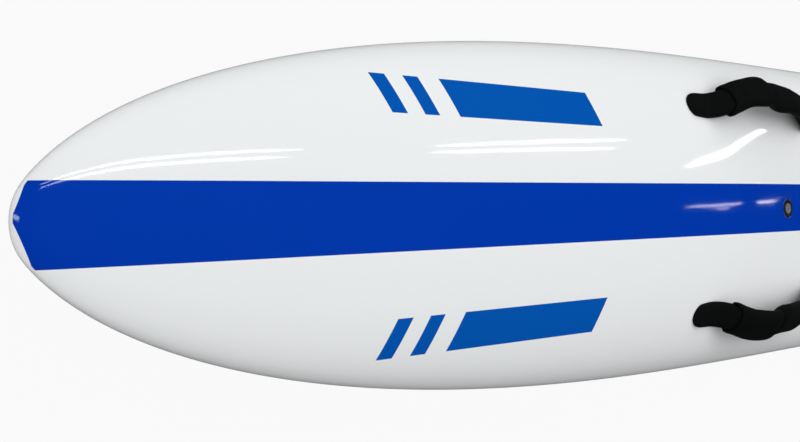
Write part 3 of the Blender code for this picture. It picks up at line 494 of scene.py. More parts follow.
def rim_distance(sections, deck_columns):
    """Distance in plan from each deck point to the outline, and -1 on the bottom. Near the two ends it
    is the least distance to a row of points on the outline, which crowd at the tips by squares. Between
    them it is the half width less the point's distance from the middle."""
    crowded = np.linspace(0.0, 1.0, RIM_POINTS) ** 2
    s = np.concatenate([RIM_NOSE * crowded, LENGTH - RIM_TAIL * crowded])
    edge = np.stack([s - LENGTH / 2, half_width(s)], axis=-1)
    edge = np.concatenate([edge, edge * (1, -1)])
    blunt = np.linspace(-1, 1, RIM_END_POINTS)[:, None] * (0, half_width(LENGTH)) + (LENGTH / 2, 0)
    edge = np.concatenate([edge, blunt])
    found = np.full(sections.shape[:2], -1.0)
    for row, section in enumerate(sections[:, :deck_columns]):
        x = section[0, 0]
        if abs(x) > LENGTH / 2 - RIM_ZONE:
            away = np.linalg.norm(section[:, None, :2] - edge[None], axis=-1).min(axis=1)
        else:
            away = np.abs(section[:, 1]).max() - np.abs(section[:, 1])
        found[row, :deck_columns] = away
    return found


stations = shell_stations()
sections, deck_columns = shell_sections(stations)
rim = rim_distance(sections, deck_columns)
tip = np.array([-LENGTH / 2, 0.0, float(apex_height(0.0))])
shell = tube("board_shell", sections, (tip, sections[-1].mean(axis=0)), {"rim": rim})
print("shell sections", sections.shape, "faces", len(shell.data.polygons))

# %% [markdown]
# ## Frames on the board
#
# A fitting sits square to the surface it is let into. A frame is a point and three directions there:
# X along the board, Z out of the surface, and Y across.

# %% Frames, turned profiles and plates
CORNER_STEPS = 12


class Seat:
    """A point on the board with its own directions, to draw a fitting in."""

    def __init__(self, point, forward, up):
        self.point = np.asarray(point, float)
        self.up = unit(np.asarray(up, float))
        self.side = unit(np.cross(self.up, forward))
        self.ahead = np.cross(self.side, self.up)

    def world(self, local):
        """Points given along the seat's three directions, as points of the board."""
        local = np.asarray(local, float)
        return self.point + local @ np.stack([self.ahead, self.side, self.up])


def spun(name, profile, seat, steps=96, ring=False):
    """Radii and heights spun round the seat's Z by cosine and sine. A ring's profile closes on itself;
    any other starts and ends on the axis."""
    profile = np.asarray(profile, float)
    body = profile if ring else profile[1:-1]
    angle = full_turn(steps)
    x = body[:, :1] * np.cos(angle)
    y = body[:, :1] * np.sin(angle)
    z = np.broadcast_to(body[:, 1:], x.shape)
    sections = seat.world(np.stack([x, y, z], axis=-1))
    ends = None if ring else tuple(seat.world([[0, 0, profile[n, 1]]])[0] for n in (0, -1))
    return tube(name, sections, ends, ring_of_rings=ring)


def cylinder(name, radius, low, high, seat, steps=32):
    """Round cutter: a rectangle of its radius and height, spun round the seat's Z."""
    return spun(name, ((0, high), (radius, high), (radius, low), (0, low)), seat, steps)


def rounded_outline(length, width, radius, middle):
    """Rectangle with quarter circles for corners, anticlockwise about a middle on X."""
    quarter = np.linspace(0.0, math.pi / 2, CORNER_STEPS)
    found = []
    for turn, (across, up) in enumerate(((1, 1), (-1, 1), (-1, -1), (1, -1))):
        angle = quarter + turn * math.pi / 2
        x = middle + across * (length / 2 - radius) + radius * np.cos(angle)
        y = up * (width / 2 - radius) + radius * np.sin(angle)
        found.append(np.stack([x, y], axis=-1))
    return np.concatenate(found)


def plate(name, size, low, high, seat):
    """Rounded outline lifted from one height to another. Its size is the length, the width, the corners'
    radius and the middle on X."""
    outline = rounded_outline(*size)
    sections = [np.column_stack([outline, np.full(len(outline), z)]) for z in (low, high)]
    return tube(name, seat.world(np.stack(sections)))


VENT_STATION, VENT_RADIUS, VENT_DEPTH = 1.445, 0.018, 0.024
FIN_BOX_FROM_TAIL, FIN_BOX_LENGTH, FIN_BOX_WIDTH, FIN_BOX_DEPTH = 0.33, 0.272, 0.0254, 0.024
FIN_BOX_CORNER = FIN_BOX_WIDTH / 4
PAST_DECK, PAST_BOTTOM = 0.01, 0.02
vent_seat = Seat(on_deck(VENT_STATION, 0.0), (1, 0, 0), deck_normal(VENT_STATION, 0.0))
box_middle = LENGTH - FIN_BOX_FROM_TAIL
box_fore, box_aft = (
    bottom_surface(np.float64(box_middle + n * FIN_BOX_LENGTH / 2), 0.0, 0.0) for n in (-1, 1)
)
box_seat = Seat((box_fore + box_aft) / 2, box_aft - box_fore, np.cross((0, -1, 0), box_aft - box_fore))

vent_well = cylinder("vent_well", VENT_RADIUS + GAP, -VENT_DEPTH - GAP, PAST_DECK, vent_seat, steps=64)
room = (FIN_BOX_LENGTH + 2 * GAP, FIN_BOX_WIDTH + 2 * GAP, FIN_BOX_CORNER + GAP, 0.0)
box_well = plate("box_well", room, -PAST_BOTTOM, FIN_BOX_DEPTH + GAP, box_seat)
carve(shell, "DIFFERENCE", vent_well, box_well)
print("shell after its pockets", len(shell.data.polygons), "faces")

# %% [markdown]
# ## Gloss paint and the stripe
#
# The white is a sprayed gel coat, wet-sanded and polished, so it is smooth but not quite a mirror:
# there is a faint orange peel, and long soft waves from fairing by hand. The stripe is sprayed
# between tapes and lies a few millimetres askew. Its nose end is a blunt point that stops just short
# of the edge, which a plain strip of Y can't give. So the shell keeps each point's distance from the
# outline and the finish reads it. The tail end is cut square.

# %% Finish of the shell
STRIPE_HALF_WIDTH, STRIPE_MARGIN, STRIPE_END = 0.0452, 0.0030, LENGTH / 2 - 0.012
POINT, POINT_SIDE, POINT_SLOPE = -LENGTH / 2 + 0.0015, 0.0035, 0.38
STRIPE_OFF, STRIPE_SKEW = 0.0019, 0.0032
WHITE = (0.865, 0.885, 0.892)
CLOUD_SHADE = 0.985
BLUE = (0.0004, 0.040, 0.415)
MARK_BLUE = (0.001, 0.092, 0.440)
MARKS = ((-1.118, 0.026), (-1.062, 0.026), (-0.862, 0.300))
MARK_MIDDLE, MARK_HALF_HEIGHT, MARK_SLANT = 0.160, 0.026, 0.55


def shell_finish():
    """White gloss, the stripe's blue inside both tapes, and plain slanted bars on each side, given by
    their middles along X and their widths."""
    finish = Finish("gloss_white", WHITE, roughness=0.1, ior=1.5)
    x, y = finish.plan()
    rim = finish.value_of("rim")
    stripe_middle = x.math("MINIMUM", x * STRIPE_SKEW + STRIPE_OFF, STRIPE_OFF)
    ends = (x - abs(y - POINT_SIDE) * POINT_SLOPE).above(POINT) * x.below(STRIPE_END)
    stripe = abs(y - stripe_middle).below(STRIPE_HALF_WIDTH) * rim.above(STRIPE_MARGIN) * ends
    leaning = x + (abs(y) - MARK_MIDDLE) * MARK_SLANT
    across = abs(abs(y) - MARK_MIDDLE).below(MARK_HALF_HEIGHT) * rim.above(STRIPE_MARGIN)
    bars = 0.0
    for bar_middle, width in MARKS:
        bars = abs(leaning - bar_middle).below(width / 2) + bars
    marks = bars * across
    white = finish.blend(finish.noise(3.0), WHITE, [c * CLOUD_SHADE for c in WHITE])
    coat = finish.blend(stripe, white, BLUE)
    finish.set("Base Color", finish.blend(marks, coat, MARK_BLUE))
    finish.set("Roughness", 0.03 + 0.03 * finish.noise(14.0))
    peel = finish.bump(finish.noise(420.0, detail=1.0), distance=0.00002, strength=0.3)
    fairing = finish.bump(finish.noise(7.0, detail=1.0), distance=0.0006, strength=0.5, onto=peel)
    finish.set("Normal", finish.bump(stripe + marks, distance=0.00006, strength=0.8, onto=fairing))
    return finish


gloss_white = shell_finish()
place(shell, gloss_white, "board", ("deck_skin", "hull_skin"))
print("stripe", 2 * STRIPE_HALF_WIDTH, "m wide")

# %% [markdown]
# ## Where the handles lie
#
# Each handle is a strap that is screwed to the deck at both ends and arches through a padded sleeve,
# high enough for a hand. Its foot is a straight line on the plan, toed out a little. Over that line
# stands the arch, which leans outward with the sleeve's weight and because the deck falls away there.
# The sleeve, the boots and the strap are all carried along the same path.

# %% Line of a handle and its height over the deck
HANDLE_LENGTH, SLEEVE_LENGTH, STRAP_LANDING = 0.424, 0.266, 0.17
SLEEVE_CREST, CUFF_HEIGHT, ARCH_POWER = 0.053, 0.0205, 3.2
STRAP_WIDTH, STRAP_THICKNESS, STRAP_END_COVER = 0.038, 0.002, 0.013
SIDES = {"port": -1, "starboard": 1}
ENDS = {"fore": -1, "aft": 1}
HANDLE_PLACES = {
    "front": (1.35, 0.1085, math.radians(-1.9)),
    "rear": (LENGTH - 0.74, 0.085, math.radians(-2.7)),
}
CUFF = SLEEVE_LENGTH / 2
SLEEVE_LEAN, LEAN_INSIDE = math.radians(24), 0.045
LEAN_RUN = STRAP_LANDING - CUFF + LEAN_INSIDE
BEND_PAST_LANDING, BEND_PAST_CUFF = 0.004, 0.002
ARC_DEPTH, ARC_INSIDE, ARC_FADE_INSIDE, ARC_FADE_OUTSIDE = 0.013, 0.045, 0.04, 0.035
PUSHED_UP, UP_PLACE, UP_RUN = 0.0025, -0.055, 0.03
PUSHED_DOWN, DOWN_START, DOWN_RUN, DOWN_STOP, DOWN_FADE = 0.007, -0.040, 0.028, 0.01, 0.05


def strap_height(u):
    """Height of the strap's middle: a power arch as far as the cuffs, then a cubic that leaves the cuff
    at the arch's own slope and lands flat on the deck."""
    reach = np.abs(u)
    rise = SLEEVE_CREST - CUFF_HEIGHT
    arch = CUFF_HEIGHT + rise * (1 - np.minimum(reach / CUFF, 1.0) ** ARCH_POWER)
    landed = GAP + STRAP_THICKNESS / 2
    run = STRAP_LANDING - CUFF
    t = held((reach - CUFF) / run)
    start = 2 * t**3 - 3 * t**2 + 1
    slope = -ARCH_POWER * rise / CUFF * (t**3 - 2 * t**2 + t)
    ramp = start * CUFF_HEIGHT + run * slope + (1 - start) * landed
    return np.where(reach <= CUFF, arch, ramp)


def pushed(u):
    """How far hands have pushed the arch out of its moulded curve: up in a bell ahead of its middle, and
    down behind it, fading to nothing before the cuff."""
    down = PUSHED_DOWN * smooth_step((u - DOWN_START) / DOWN_RUN)
    return PUSHED_UP * bell(u - UP_PLACE, UP_RUN) - down * smooth_step((CUFF - DOWN_STOP - u) / DOWN_FADE)


class HandleLine:
    """The line that one handle lies along, measured from its middle towards the tail."""

    def __init__(self, side, station, rail_inset, toe):
        self.side, self.station, self.toe = side, station, toe
        self.inset = half_width(station) - rail_inset
        self.normal = deck_normal(np.float64(station), side * self.inset)
        ahead = (math.cos(toe), side * math.sin(toe), 0.0)
        self.sideways = unit(np.cross(self.normal, ahead))

    def deck(self, u):
        """Points on the deck at distances along the line."""
        u = np.asarray(u, float)
        y = self.side * (self.inset + u * math.sin(self.toe))
        return on_deck(self.station + u * math.cos(self.toe), y)

    def leaning(self, u):
        """Upward and sideways directions, turned outward by the lean. The lean is a smooth step from
        the landing to a little way inside the sleeve."""
        lean = self.side * SLEEVE_LEAN * smooth_step((STRAP_LANDING - np.abs(u)) / LEAN_RUN)[..., None]
        upward = self.normal * np.cos(lean) + self.sideways * np.sin(lean)
        return upward, self.sideways * np.cos(lean) - self.normal * np.sin(lean)

    def path(self, u):
        """Points of the strap's middle."""
        return self.deck(u) + self.leaning(u)[0] * (strap_height(u) + pushed(u))[..., None]

    def bend_ends(self, end):
        """Where a boot or a strap leaves the deck and starts to bend, and where it reaches the sleeve."""
        return self.path(end * np.array([STRAP_LANDING + BEND_PAST_LANDING, CUFF + BEND_PAST_CUFF]))

    def carry(self, u, across, up):
        """Offsets sideways and upwards, square to the path. A section has one distance, or one for each
        of its points."""
        u = np.asarray(u, float)
        u = u[:, None] if u.ndim == 1 else u
        step = 0.001
        tangent = self.path(u + step) - self.path(u - step)
        upward = unit(np.cross(tangent, self.leaning(u)[1]))
        aside = unit(np.cross(upward, tangent))
        return self.path(u) + across[..., None] * aside + up[..., None] * upward


def cut_back(u, turns):
    """The cuff is cut in an arc, deepest on top: a point at distance u moves towards the middle by the
    arc's depth times the sine of its turn, most at the cuff and not at all away from it."""
    near = smooth_step((np.abs(u) - CUFF + ARC_INSIDE) / ARC_FADE_INSIDE)
    near = near * smooth_step((CUFF + ARC_FADE_OUTSIDE - np.abs(u)) / ARC_FADE_OUTSIDE)
    return u[:, None] - np.sign(u)[:, None] * ARC_DEPTH * near[:, None] * held(np.sin(turns))


def squared_round(turns, width, thick, power):
    """Superellipse: cosine and sine, each raised to 2 over the power, times half the width and half
    the thickness."""
    across = signed_power(np.cos(turns), 2 / power) * width / 2
    up = signed_power(np.sin(turns), 2 / power) * thick / 2
    return across, up


lines = {}
for pair, pair_place in HANDLE_PLACES.items():
    for side_name, side in SIDES.items():
        lines[f"{pair}_{side_name}"] = HandleLine(side, *pair_place)
print("crest of the front handles", (lines["front_port"].path(np.zeros(1))[0]).round(4))

# %% [markdown]
# ## Knitted rubber
#
# The handles are covered in neoprene with a knitted face. It is nearly black, hardly shines, and shows
# fine rows of stitches only close up. The rows follow the piece, so each piece keeps two lengths on
# its points, along and around, and the knit is two sine waves of them. Rubbed places turn a little
# greyer, where clouds of noise say so.

# %% Finish of the padded handles and of the strap
KNIT_PITCH, RIB_PITCH, WEFT_PITCH = 0.0011, 0.0021, 0.0016
BLACK_KNIT = (0.0024, 0.0027, 0.0030)
DUSTY_KNIT = (0.0040, 0.0044, 0.0050)
RUBBED_KNIT = (0.0065, 0.007, 0.008)


def knit_finish():
    """Knit height is the product of a wave along and a wave around; the two lengths are in metres."""
    finish = Finish("black_knit", BLACK_KNIT, roughness=0.9, specular_ior_level=0.15)
    along, around = finish.value_of("along"), finish.value_of("around")
    turn = 2 * math.pi / KNIT_PITCH
    rows = (along * turn).sine() * 0.5 + 0.5
    loops = (around * turn + (along * (turn / 2)).sine()).sine() * 0.5 + 0.5
    cloud = finish.noise(55.0, detail=4.0)
    rubbed = finish.noise(9.0, detail=3.0).above(0.58, blur=0.08)
    colour = finish.blend(cloud, BLACK_KNIT, DUSTY_KNIT)
    finish.set("Base Color", finish.blend(rubbed * 0.5, colour, RUBBED_KNIT))
    finish.set("Roughness", 0.82 + 0.14 * cloud)
    knit = finish.bump(rows * loops, distance=0.0002, strength=0.7)
    finish.set("Normal", finish.bump(cloud, distance=0.0006, strength=0.4, onto=knit))
    return finish


def webbing_finish():
    """Woven polyester: warp ribs along the strap crossed by weft, as a product of two waves."""
    finish = Finish("black_webbing", (0.008, 0.008, 0.009), roughness=0.8, sheen_weight=0.15)
    along, around = finish.value_of("along"), finish.value_of("around")
    ribs = (around * (2 * math.pi / RIB_PITCH)).sine()
    weft = (along * (2 * math.pi / WEFT_PITCH)).sine()
    finish.set("Normal", finish.bump(ribs * weft * 0.5 + 0.5, distance=0.0003, strength=0.8))
    finish.set("Roughness", 0.72 + 0.2 * finish.noise(300.0))
    return finish


black_knit = knit_finish()
black_webbing = webbing_finish()
print("knit pitch", KNIT_PITCH * 1000, "mm")

# %% [markdown]
# ## Padded sleeves
#
# A sleeve is a foam tube in a knitted skin, closed with a flat seam along its underside, and hemmed
# where it swallows the boot. It keeps its moulded shape, so it is not simulated as loose cloth: its
# section swells from the cuffs to the middle, the foam gives soft hollows along its length, the skin
# puckers on the inside of each bend, and the hem stands up as a round lip with a cup behind it. Just
# behind the crest the tube has been bent so often that it is pinched, with creases across it.

# %% Sleeves
SLEEVE_WIDTH, CUFF_WIDTH, SLEEVE_THICKNESS, CUFF_THICKNESS = 0.064, 0.058, 0.030, 0.027
SLEEVE_POWER = 2.4
PINCH_PLACE, PINCH_RUN, PINCH = -0.024, 0.011, 0.009
CREASES = ((-0.014, 0.0006), (0.0, 0.0014), (0.011, 0.0008))
CREASE_WIDTH, CREASE_BOW = 0.0024, 0.004
SLEEVE_ROWS, SLEEVE_COLUMNS, LIP_ROWS, CUP_ROWS = 150, 96, 12, 6
LIP_RADIUS, CUP_DEPTH, CUP_WALL = 0.0022, 0.011, 0.0030
SEAM_HALF_WIDTH, SEAM_DEPTH = 0.0022, 0.0011
HEM, HEM_FROM_CUFF, HEM_RUN = 0.0016, 0.006, 0.0035
FOAM_HOLLOW, FOAM_WAVE = 0.0005, 95
PUCKER, PUCKER_WAVE, PUCKER_SWAY, SLEEVE_PHASE = 0.0003, 820, 1.6, 0.7
BEND_PLACE, BEND_RUN = 0.105, 0.02


def sleeve_profile():
    """Distance along and share of the skin's outward reach: out of one cup, round its lip, along the
    sleeve, and the same backwards. A lip is a half circle."""
    turn = np.linspace(math.pi, 0.0, LIP_ROWS)[:-1]
    lip_u = CUFF - LIP_RADIUS + LIP_RADIUS * np.sin(turn)
    lip_in = CUP_WALL / 2 * (1 - np.cos(turn))
    cup_u = np.linspace(CUFF - CUP_DEPTH, CUFF - LIP_RADIUS, CUP_ROWS)[:-1]
    half_u = np.concatenate([cup_u, lip_u])
    half_in = np.concatenate([np.full(len(cup_u), CUP_WALL), CUP_WALL - lip_in])
    body = np.linspace(-(CUFF - LIP_RADIUS), CUFF - LIP_RADIUS, SLEEVE_ROWS)
    u = np.concatenate([-half_u, body, half_u[::-1]])
    inward = np.concatenate([half_in, np.zeros(SLEEVE_ROWS), half_in[::-1]])
    return u, inward


def sleeve_sections(line, phase):
    """Superellipse that swells by a parabola, less the inset of its wall. The pinch, the hems and the
    creases are bells along it. Hollows are slow sine waves along it; puckers are quick ones under the
    two bends near the cuffs; the seam is a notch a bell wide along the underside."""
    u, inward = sleeve_profile()
    turns = full_turn(SLEEVE_COLUMNS)
    swell = 1 - (u / CUFF) ** 2
    width = CUFF_WIDTH + (SLEEVE_WIDTH - CUFF_WIDTH) * swell - 2 * inward
    thick = CUFF_THICKNESS + (SLEEVE_THICKNESS - CUFF_THICKNESS) * swell - 2 * inward
    pinch = PINCH * bell(u - PINCH_PLACE, PINCH_RUN)
    width, thick = width - pinch, thick - pinch
    hem = HEM * bell(np.abs(u) - CUFF + HEM_FROM_CUFF, HEM_RUN) * (inward == 0)
    width, thick = (width + hem)[:, None], (thick + hem)[:, None]
    across, up = squared_round(turns[None], width, thick, SLEEVE_POWER)
    under = bell(across, SEAM_HALF_WIDTH) * (up < 0)
    hollow = FOAM_HOLLOW * np.sin(u * FOAM_WAVE + phase)[:, None] * np.sin(2 * turns + phase)[None]
    bend = bell(np.abs(u) - BEND_PLACE, BEND_RUN)
    wave = np.sin(u[:, None] * PUCKER_WAVE + PUCKER_SWAY * np.sin(2 * turns[None] + phase))
    pucker = PUCKER * bend[:, None] * wave * held(-np.sin(turns))[None]
    crease = 0.0
    for offset, depth in CREASES:
        bow = u[:, None] - PINCH_PLACE - offset - CREASE_BOW * np.cos(turns + phase)[None]
        crease = crease + depth * bell(bow, CREASE_WIDTH)
    open_skin = (inward == 0)[:, None]
    push = (hollow + pucker - crease) * open_skin
    up = up + SEAM_DEPTH * under * open_skin + push * np.sign(up)
    across = across + push * np.cos(turns)[None]
    return line.carry(cut_back(u, turns), across, up)


def lengths_on(sections):
    """Distance along the piece and around its section, for patterns that follow it."""
    middle = sections.mean(axis=1)
    steps = np.linalg.norm(np.diff(middle, axis=0), axis=1)
    along = np.concatenate([[0.0], np.cumsum(steps)])
    sides = np.linalg.norm(np.diff(sections, axis=1), axis=2).mean(axis=0)
    around = np.concatenate([[0.0], np.cumsum(sides)])
    shape = sections.shape[:2]
    along = np.broadcast_to(along[:, None], shape)
    return {"along": along, "around": np.broadcast_to(around[None], shape)}


for number, (label, line) in enumerate(lines.items()):
    sections = sleeve_sections(line, SLEEVE_PHASE * number)
    sleeve = tube(f"{label}_sleeve", sections, values=lengths_on(sections))
    place(sleeve, black_knit, f"{label}_grip", (f"{label}_grip",))
print("four sleeves,", len(sleeve.data.polygons), "faces each")

# %% [markdown]
# ## Boots
#
# A boot is a flat tongue of the same skin that hides the strap's screw, then climbs with the strap
# and goes into the sleeve. Its shape follows the board at its tongue and the leaning sleeve at its top,
# with a smooth turn between.

# %% Boots
TONGUE_WIDTH, BOOT_WIDTH, BOOT_TIP_RADIUS, BOOT_TIP_OUT = 0.039, 0.048, 0.023, 0.003
BOOT_TOP, BOOT_TIP_TOP, BOOT_TIP_RISE = 0.0095, 0.0048, 0.014
BOOT_CUFF_TOP, BOOT_CUFF_BOTTOM, BOOT_INTO_CUP = 0.0096, 0.0060, 0.009
BOOT_COLUMNS, TONGUE_ROWS, RAMP_ROWS, TONGUE_START, BOOT_PHASE = 64, 26, 64, 0.06, 1.3
DOME_POWER, TIP_OUT_POWER, BASE_SHARE = 0.6, 1.5, 0.6
CRUMPLE, CRUMPLE_WAVE, CRUMPLE_SWAY, CRUMPLE_RUN, CRUMPLE_FOOT = 0.00015, 310, 1.2, 0.03, 0.1


def boot_distances():
    """Cosine steps round the tongue's tip, even steps up the ramp, and a short way into the cup."""
    tip = HANDLE_LENGTH / 2
    turn = np.linspace(TONGUE_START, math.pi / 2, TONGUE_ROWS)
    tongue = tip - BOOT_TIP_RADIUS * (1 - np.cos(turn))
    ramp = np.linspace(tip - BOOT_TIP_RADIUS, CUFF - BOOT_INTO_CUP, RAMP_ROWS)[1:]
    return np.concatenate([tongue, ramp])


def boot_sections(line, end, phase):
    """A dome over a flat base. The tongue's width is a circle's with its tip moved outward, its height
    eases up from the tip, and it grows wider and thicker as it climbs. Fine waves crumple its top."""
    u = boot_distances()
    from_tip = HANDLE_LENGTH / 2 - u
    tip = held(from_tip / BOOT_TIP_RADIUS)
    width = TONGUE_WIDTH + (BOOT_WIDTH - TONGUE_WIDTH) * from_tip / (HANDLE_LENGTH / 2 - CUFF)
    width = width * np.sqrt(held(1 - (1 - tip) ** 2))
    top = BOOT_TIP_TOP + (BOOT_TOP - BOOT_TIP_TOP) * smooth_step(from_tip / BOOT_TIP_RISE)
    climb = smooth_step((STRAP_LANDING - u) / (STRAP_LANDING - CUFF))
    landed = STRAP_THICKNESS / 2
    upper = (top - GAP - landed) * (1 - climb) + BOOT_CUFF_TOP * climb
    lower = landed * (1 - climb) + BOOT_CUFF_BOTTOM * climb
    base_line = lower * BASE_SHARE
    turns = full_turn(BOOT_COLUMNS)[None]
    across = signed_power(np.cos(turns), DOME_POWER) * width[:, None] / 2
    across = across + line.side * BOOT_TIP_OUT * (1 - tip[:, None]) ** TIP_OUT_POWER
    dome = held(np.sin(turns)) ** DOME_POWER * (upper + base_line)[:, None]
    base = held(-np.sin(turns)) ** DOME_POWER * (lower * (1 - BASE_SHARE))[:, None]
    wave = np.sin(u[:, None] * CRUMPLE_WAVE + phase + CRUMPLE_SWAY * np.sin(2 * turns))
    fade = smooth_step(from_tip / CRUMPLE_RUN)[:, None]
    up = dome - base - base_line[:, None] + CRUMPLE * wave * fade * (np.sin(turns) > CRUMPLE_FOOT)
    return line.carry(cut_back(end * u, turns), across, up)


for number, (label, line) in enumerate(lines.items()):
    for end_name, end in ENDS.items():
        sections = boot_sections(line, end, BOOT_PHASE * number + end)
        boot = tube(f"{label}_cover_{end_name}", sections, values=lengths_on(sections))
        place(boot, black_knit, None, (f"{label}_boot_{end_name}",))
        landing, cuff = line.bend_ends(end)
        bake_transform(boot)
print("eight boots,", len(boot.data.polygons), "faces each")

# %% [markdown]
# ## Straps
#
# The load goes through 38 mm webbing, which is hidden but for its edges. Its middle moves with the
# sleeve, and each end bends down to the screw that holds it, so it is three lengths of one strap.

# %% Straps
STRAP_ROWS, STRAP_COLUMNS, STRAP_POWER = 40, 32, 8.0
STRAP_CLIP, CLIP_RUN = 0.006, 0.014
STRAP_END, STRAP_JOIN = HANDLE_LENGTH / 2 - STRAP_END_COVER, CUFF - 0.02
STRAP_PARTS = {
    "middle": (-STRAP_JOIN, STRAP_JOIN),
    "fore": (-STRAP_END, -STRAP_JOIN),
    "aft": (STRAP_JOIN, STRAP_END),
}


def strap_sections(line, start, stop):
    """A thin rectangle with its corners eased, as a superellipse of a high power. The strap's own two
    ends are cut narrower, with a smooth step."""
    u = np.linspace(start, stop, STRAP_ROWS)
    clipped = STRAP_CLIP * smooth_step((np.abs(u) - STRAP_END + CLIP_RUN) / CLIP_RUN)
    width = (STRAP_WIDTH - clipped)[:, None]
    across, up = squared_round(full_turn(STRAP_COLUMNS)[None], width, STRAP_THICKNESS, STRAP_POWER)
    return line.carry(u, across, np.broadcast_to(up, across.shape))


for label, line in lines.items():
    for part_name, reach in STRAP_PARTS.items():
        sections = strap_sections(line, *reach)
        strap = tube(f"{label}_webbing_{part_name}", sections, values=lengths_on(sections))
        body = f"{label}_grip" if part_name == "middle" else None
        place(strap, black_webbing, body, (f"{label}_strap",))
        if body is None:
            landing, cuff = line.bend_ends(ENDS[part_name])
            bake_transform(strap)
print("four straps of", STRAP_WIDTH, "m webbing")

# %% [markdown]
# ## Knee pads
#
# Long-distance paddlers kneel on sheets of closed-cell foam, glued down on each side of the stripe.
# Grooves run along the board so that water drains aft. A pad is a row of cross-sections: up its
# bevelled edge, over the ribs and grooves, and back under. Near its ends and corners the ribs fade
# into the bevel, so the sheet looks cut and sanded.

# %% Knee pads and their foam
PAD_START, PAD_END = 1.8, LENGTH - 0.4
PAD_INNER, PAD_SHARE, PAD_THICKNESS = 0.0487, 0.454, 0.004
PAD_CORNER, PAD_BEVEL, PAD_FOOT = 0.016, 0.003, 0.0012
PAD_END_LIFT, PAD_OVERRUN = 0.0004, 0.02
GROOVE_PITCH, GROOVE_DEPTH, GROOVE_START = 0.0085, 0.0015, 0.006
GROOVE_CUT, GROOVE_SLOPE, GROOVE_MARGIN, GROOVE_FADE = 0.72, 0.2, 0.004, 0.003
PAD_ROWS, PAD_CORNER_ROWS, PAD_ACROSS, FLOOR_STRIDE = 90, 16, 220, 12
FOAM = (0.034, 0.036, 0.039)
FOAM_DARK, FOAM_PALE = (0.028, 0.030, 0.033), (0.042, 0.044, 0.048)
FOAM_SPECK = (0.085, 0.088, 0.094)


def foam_finish():
    """Charcoal foam: fine cells as bump and in its shade, and pale specks scattered over it."""
    finish = Finish("pad_foam", FOAM, roughness=0.88)
    cells = finish.noise(1400.0, detail=3.0, roughness=0.7)
    specks = finish.noise(520.0, detail=1.0).above(0.66, blur=0.03)
    colour = finish.blend(cells, FOAM_DARK, FOAM_PALE)
    finish.set("Base Color", finish.blend(specks * 0.5, colour, FOAM_SPECK))
    finish.set("Roughness", 0.8 + 0.15 * cells)
    finish.set("Normal", finish.bump(cells, distance=0.0004, strength=0.6))
    return finish


def pad_sections(side):
    """Height over the deck is a bevel's ramp from the nearest edge, held at the sheet's thickness,
    less the grooves: a squared cosine of the distance across, cut off below."""
    turn = np.linspace(0.0, math.pi / 2, PAD_CORNER_ROWS)
    near = PAD_CORNER * (1 - np.cos(turn))
    between = np.linspace(PAD_START, PAD_END, PAD_ROWS)[2:-2]
    s = np.unique(np.round(np.concatenate([PAD_START + near, between, PAD_END - near[::-1]]), 6))
    to_end = np.minimum(s - PAD_START, PAD_END - s)
    into = np.clip(PAD_CORNER - to_end, 0.0, PAD_CORNER)
    corner = PAD_CORNER - np.sqrt(PAD_CORNER**2 - into**2)
    inner = PAD_INNER + corner
    outer = PAD_INNER + (half_width(s) - PAD_INNER) * PAD_SHARE - corner
    width = (outer - inner)[:, None]
    bevel_share = PAD_BEVEL / width
    t = np.linspace(0.0, 1.0, PAD_ACROSS)[None]
    widened = t * (1 + 2 * PAD_OVERRUN) - PAD_OVERRUN
    share = held(bevel_share + (1 - 2 * bevel_share) * widened)
    share = np.where(t <= 0.0, 0.0, np.where(t >= 1.0, 1.0, share))
    y = inner[:, None] + width * share
    edge = np.minimum(np.minimum(share, 1 - share) * width, to_end[:, None] + PAD_END_LIFT)
    ramp = held(edge / PAD_BEVEL)
    top = PAD_FOOT + (PAD_THICKNESS - PAD_FOOT) * np.sqrt(1 - (1 - ramp) ** 2)
    wave = np.cos(math.pi * (y - PAD_INNER - GROOVE_START) / GROOVE_PITCH) ** 2
    groove = held((wave - GROOVE_CUT) / GROOVE_SLOPE) * GROOVE_DEPTH
    groove = groove * smooth_step((edge - GROOVE_MARGIN) / GROOVE_FADE)
    base = on_deck(s[:, None], side * y)
    rise = np.zeros_like(base)
    rise[..., 2] = GAP + top - groove
    floor = base[:, ::-1].copy()
    floor[..., 2] += GAP
    return np.concatenate([base + rise, floor[:, ::FLOOR_STRIDE], floor[:, -1:]], axis=1)


pad_foam = foam_finish()
for side_name, side in SIDES.items():
    pad = tube(f"knee_sheet_{side_name}", pad_sections(side))
    place(pad, pad_foam, "board", (f"knee_pad_{side_name}",))
print("two pads,", len(pad.data.polygons), "faces each")

# %% [markdown]
# ## The vent plug
#
# Foam breathes when the board heats up, so a small plug in the deck lets air out. It is turned work:
# a black body with a flange let in flush, and a grey screw with a coin slot that closes on a rubber
# ring. Each is a profile spun round the plug's axis, with its edges eased in the profile itself.

# %% Vent plug
VENT_PROUD, VENT_FLANGE, VENT_BARREL_RADIUS, VENT_AIR_HOLE = 0.0006, 0.0015, 0.011, 0.0015
HEAD_RADIUS, HEAD_THICKNESS, HEAD_RECESS = 0.0098, 0.003, 0.0022
SHANK_RADIUS, SHANK_LENGTH, SEAL_WIRE = 0.0056, 0.012, 0.0011
SLOT_WIDTH, SLOT_SHARE, SLOT_DEPTH, EASE, HAIR = 0.002, 1.2, 0.0012, 0.0003, 1e-5
HEAD_DISH, HEAD_DISH_FLOOR, HEAD_DISH_RIM = 0.0004, 0.55, 0.62
SEAL_COLUMNS = 16


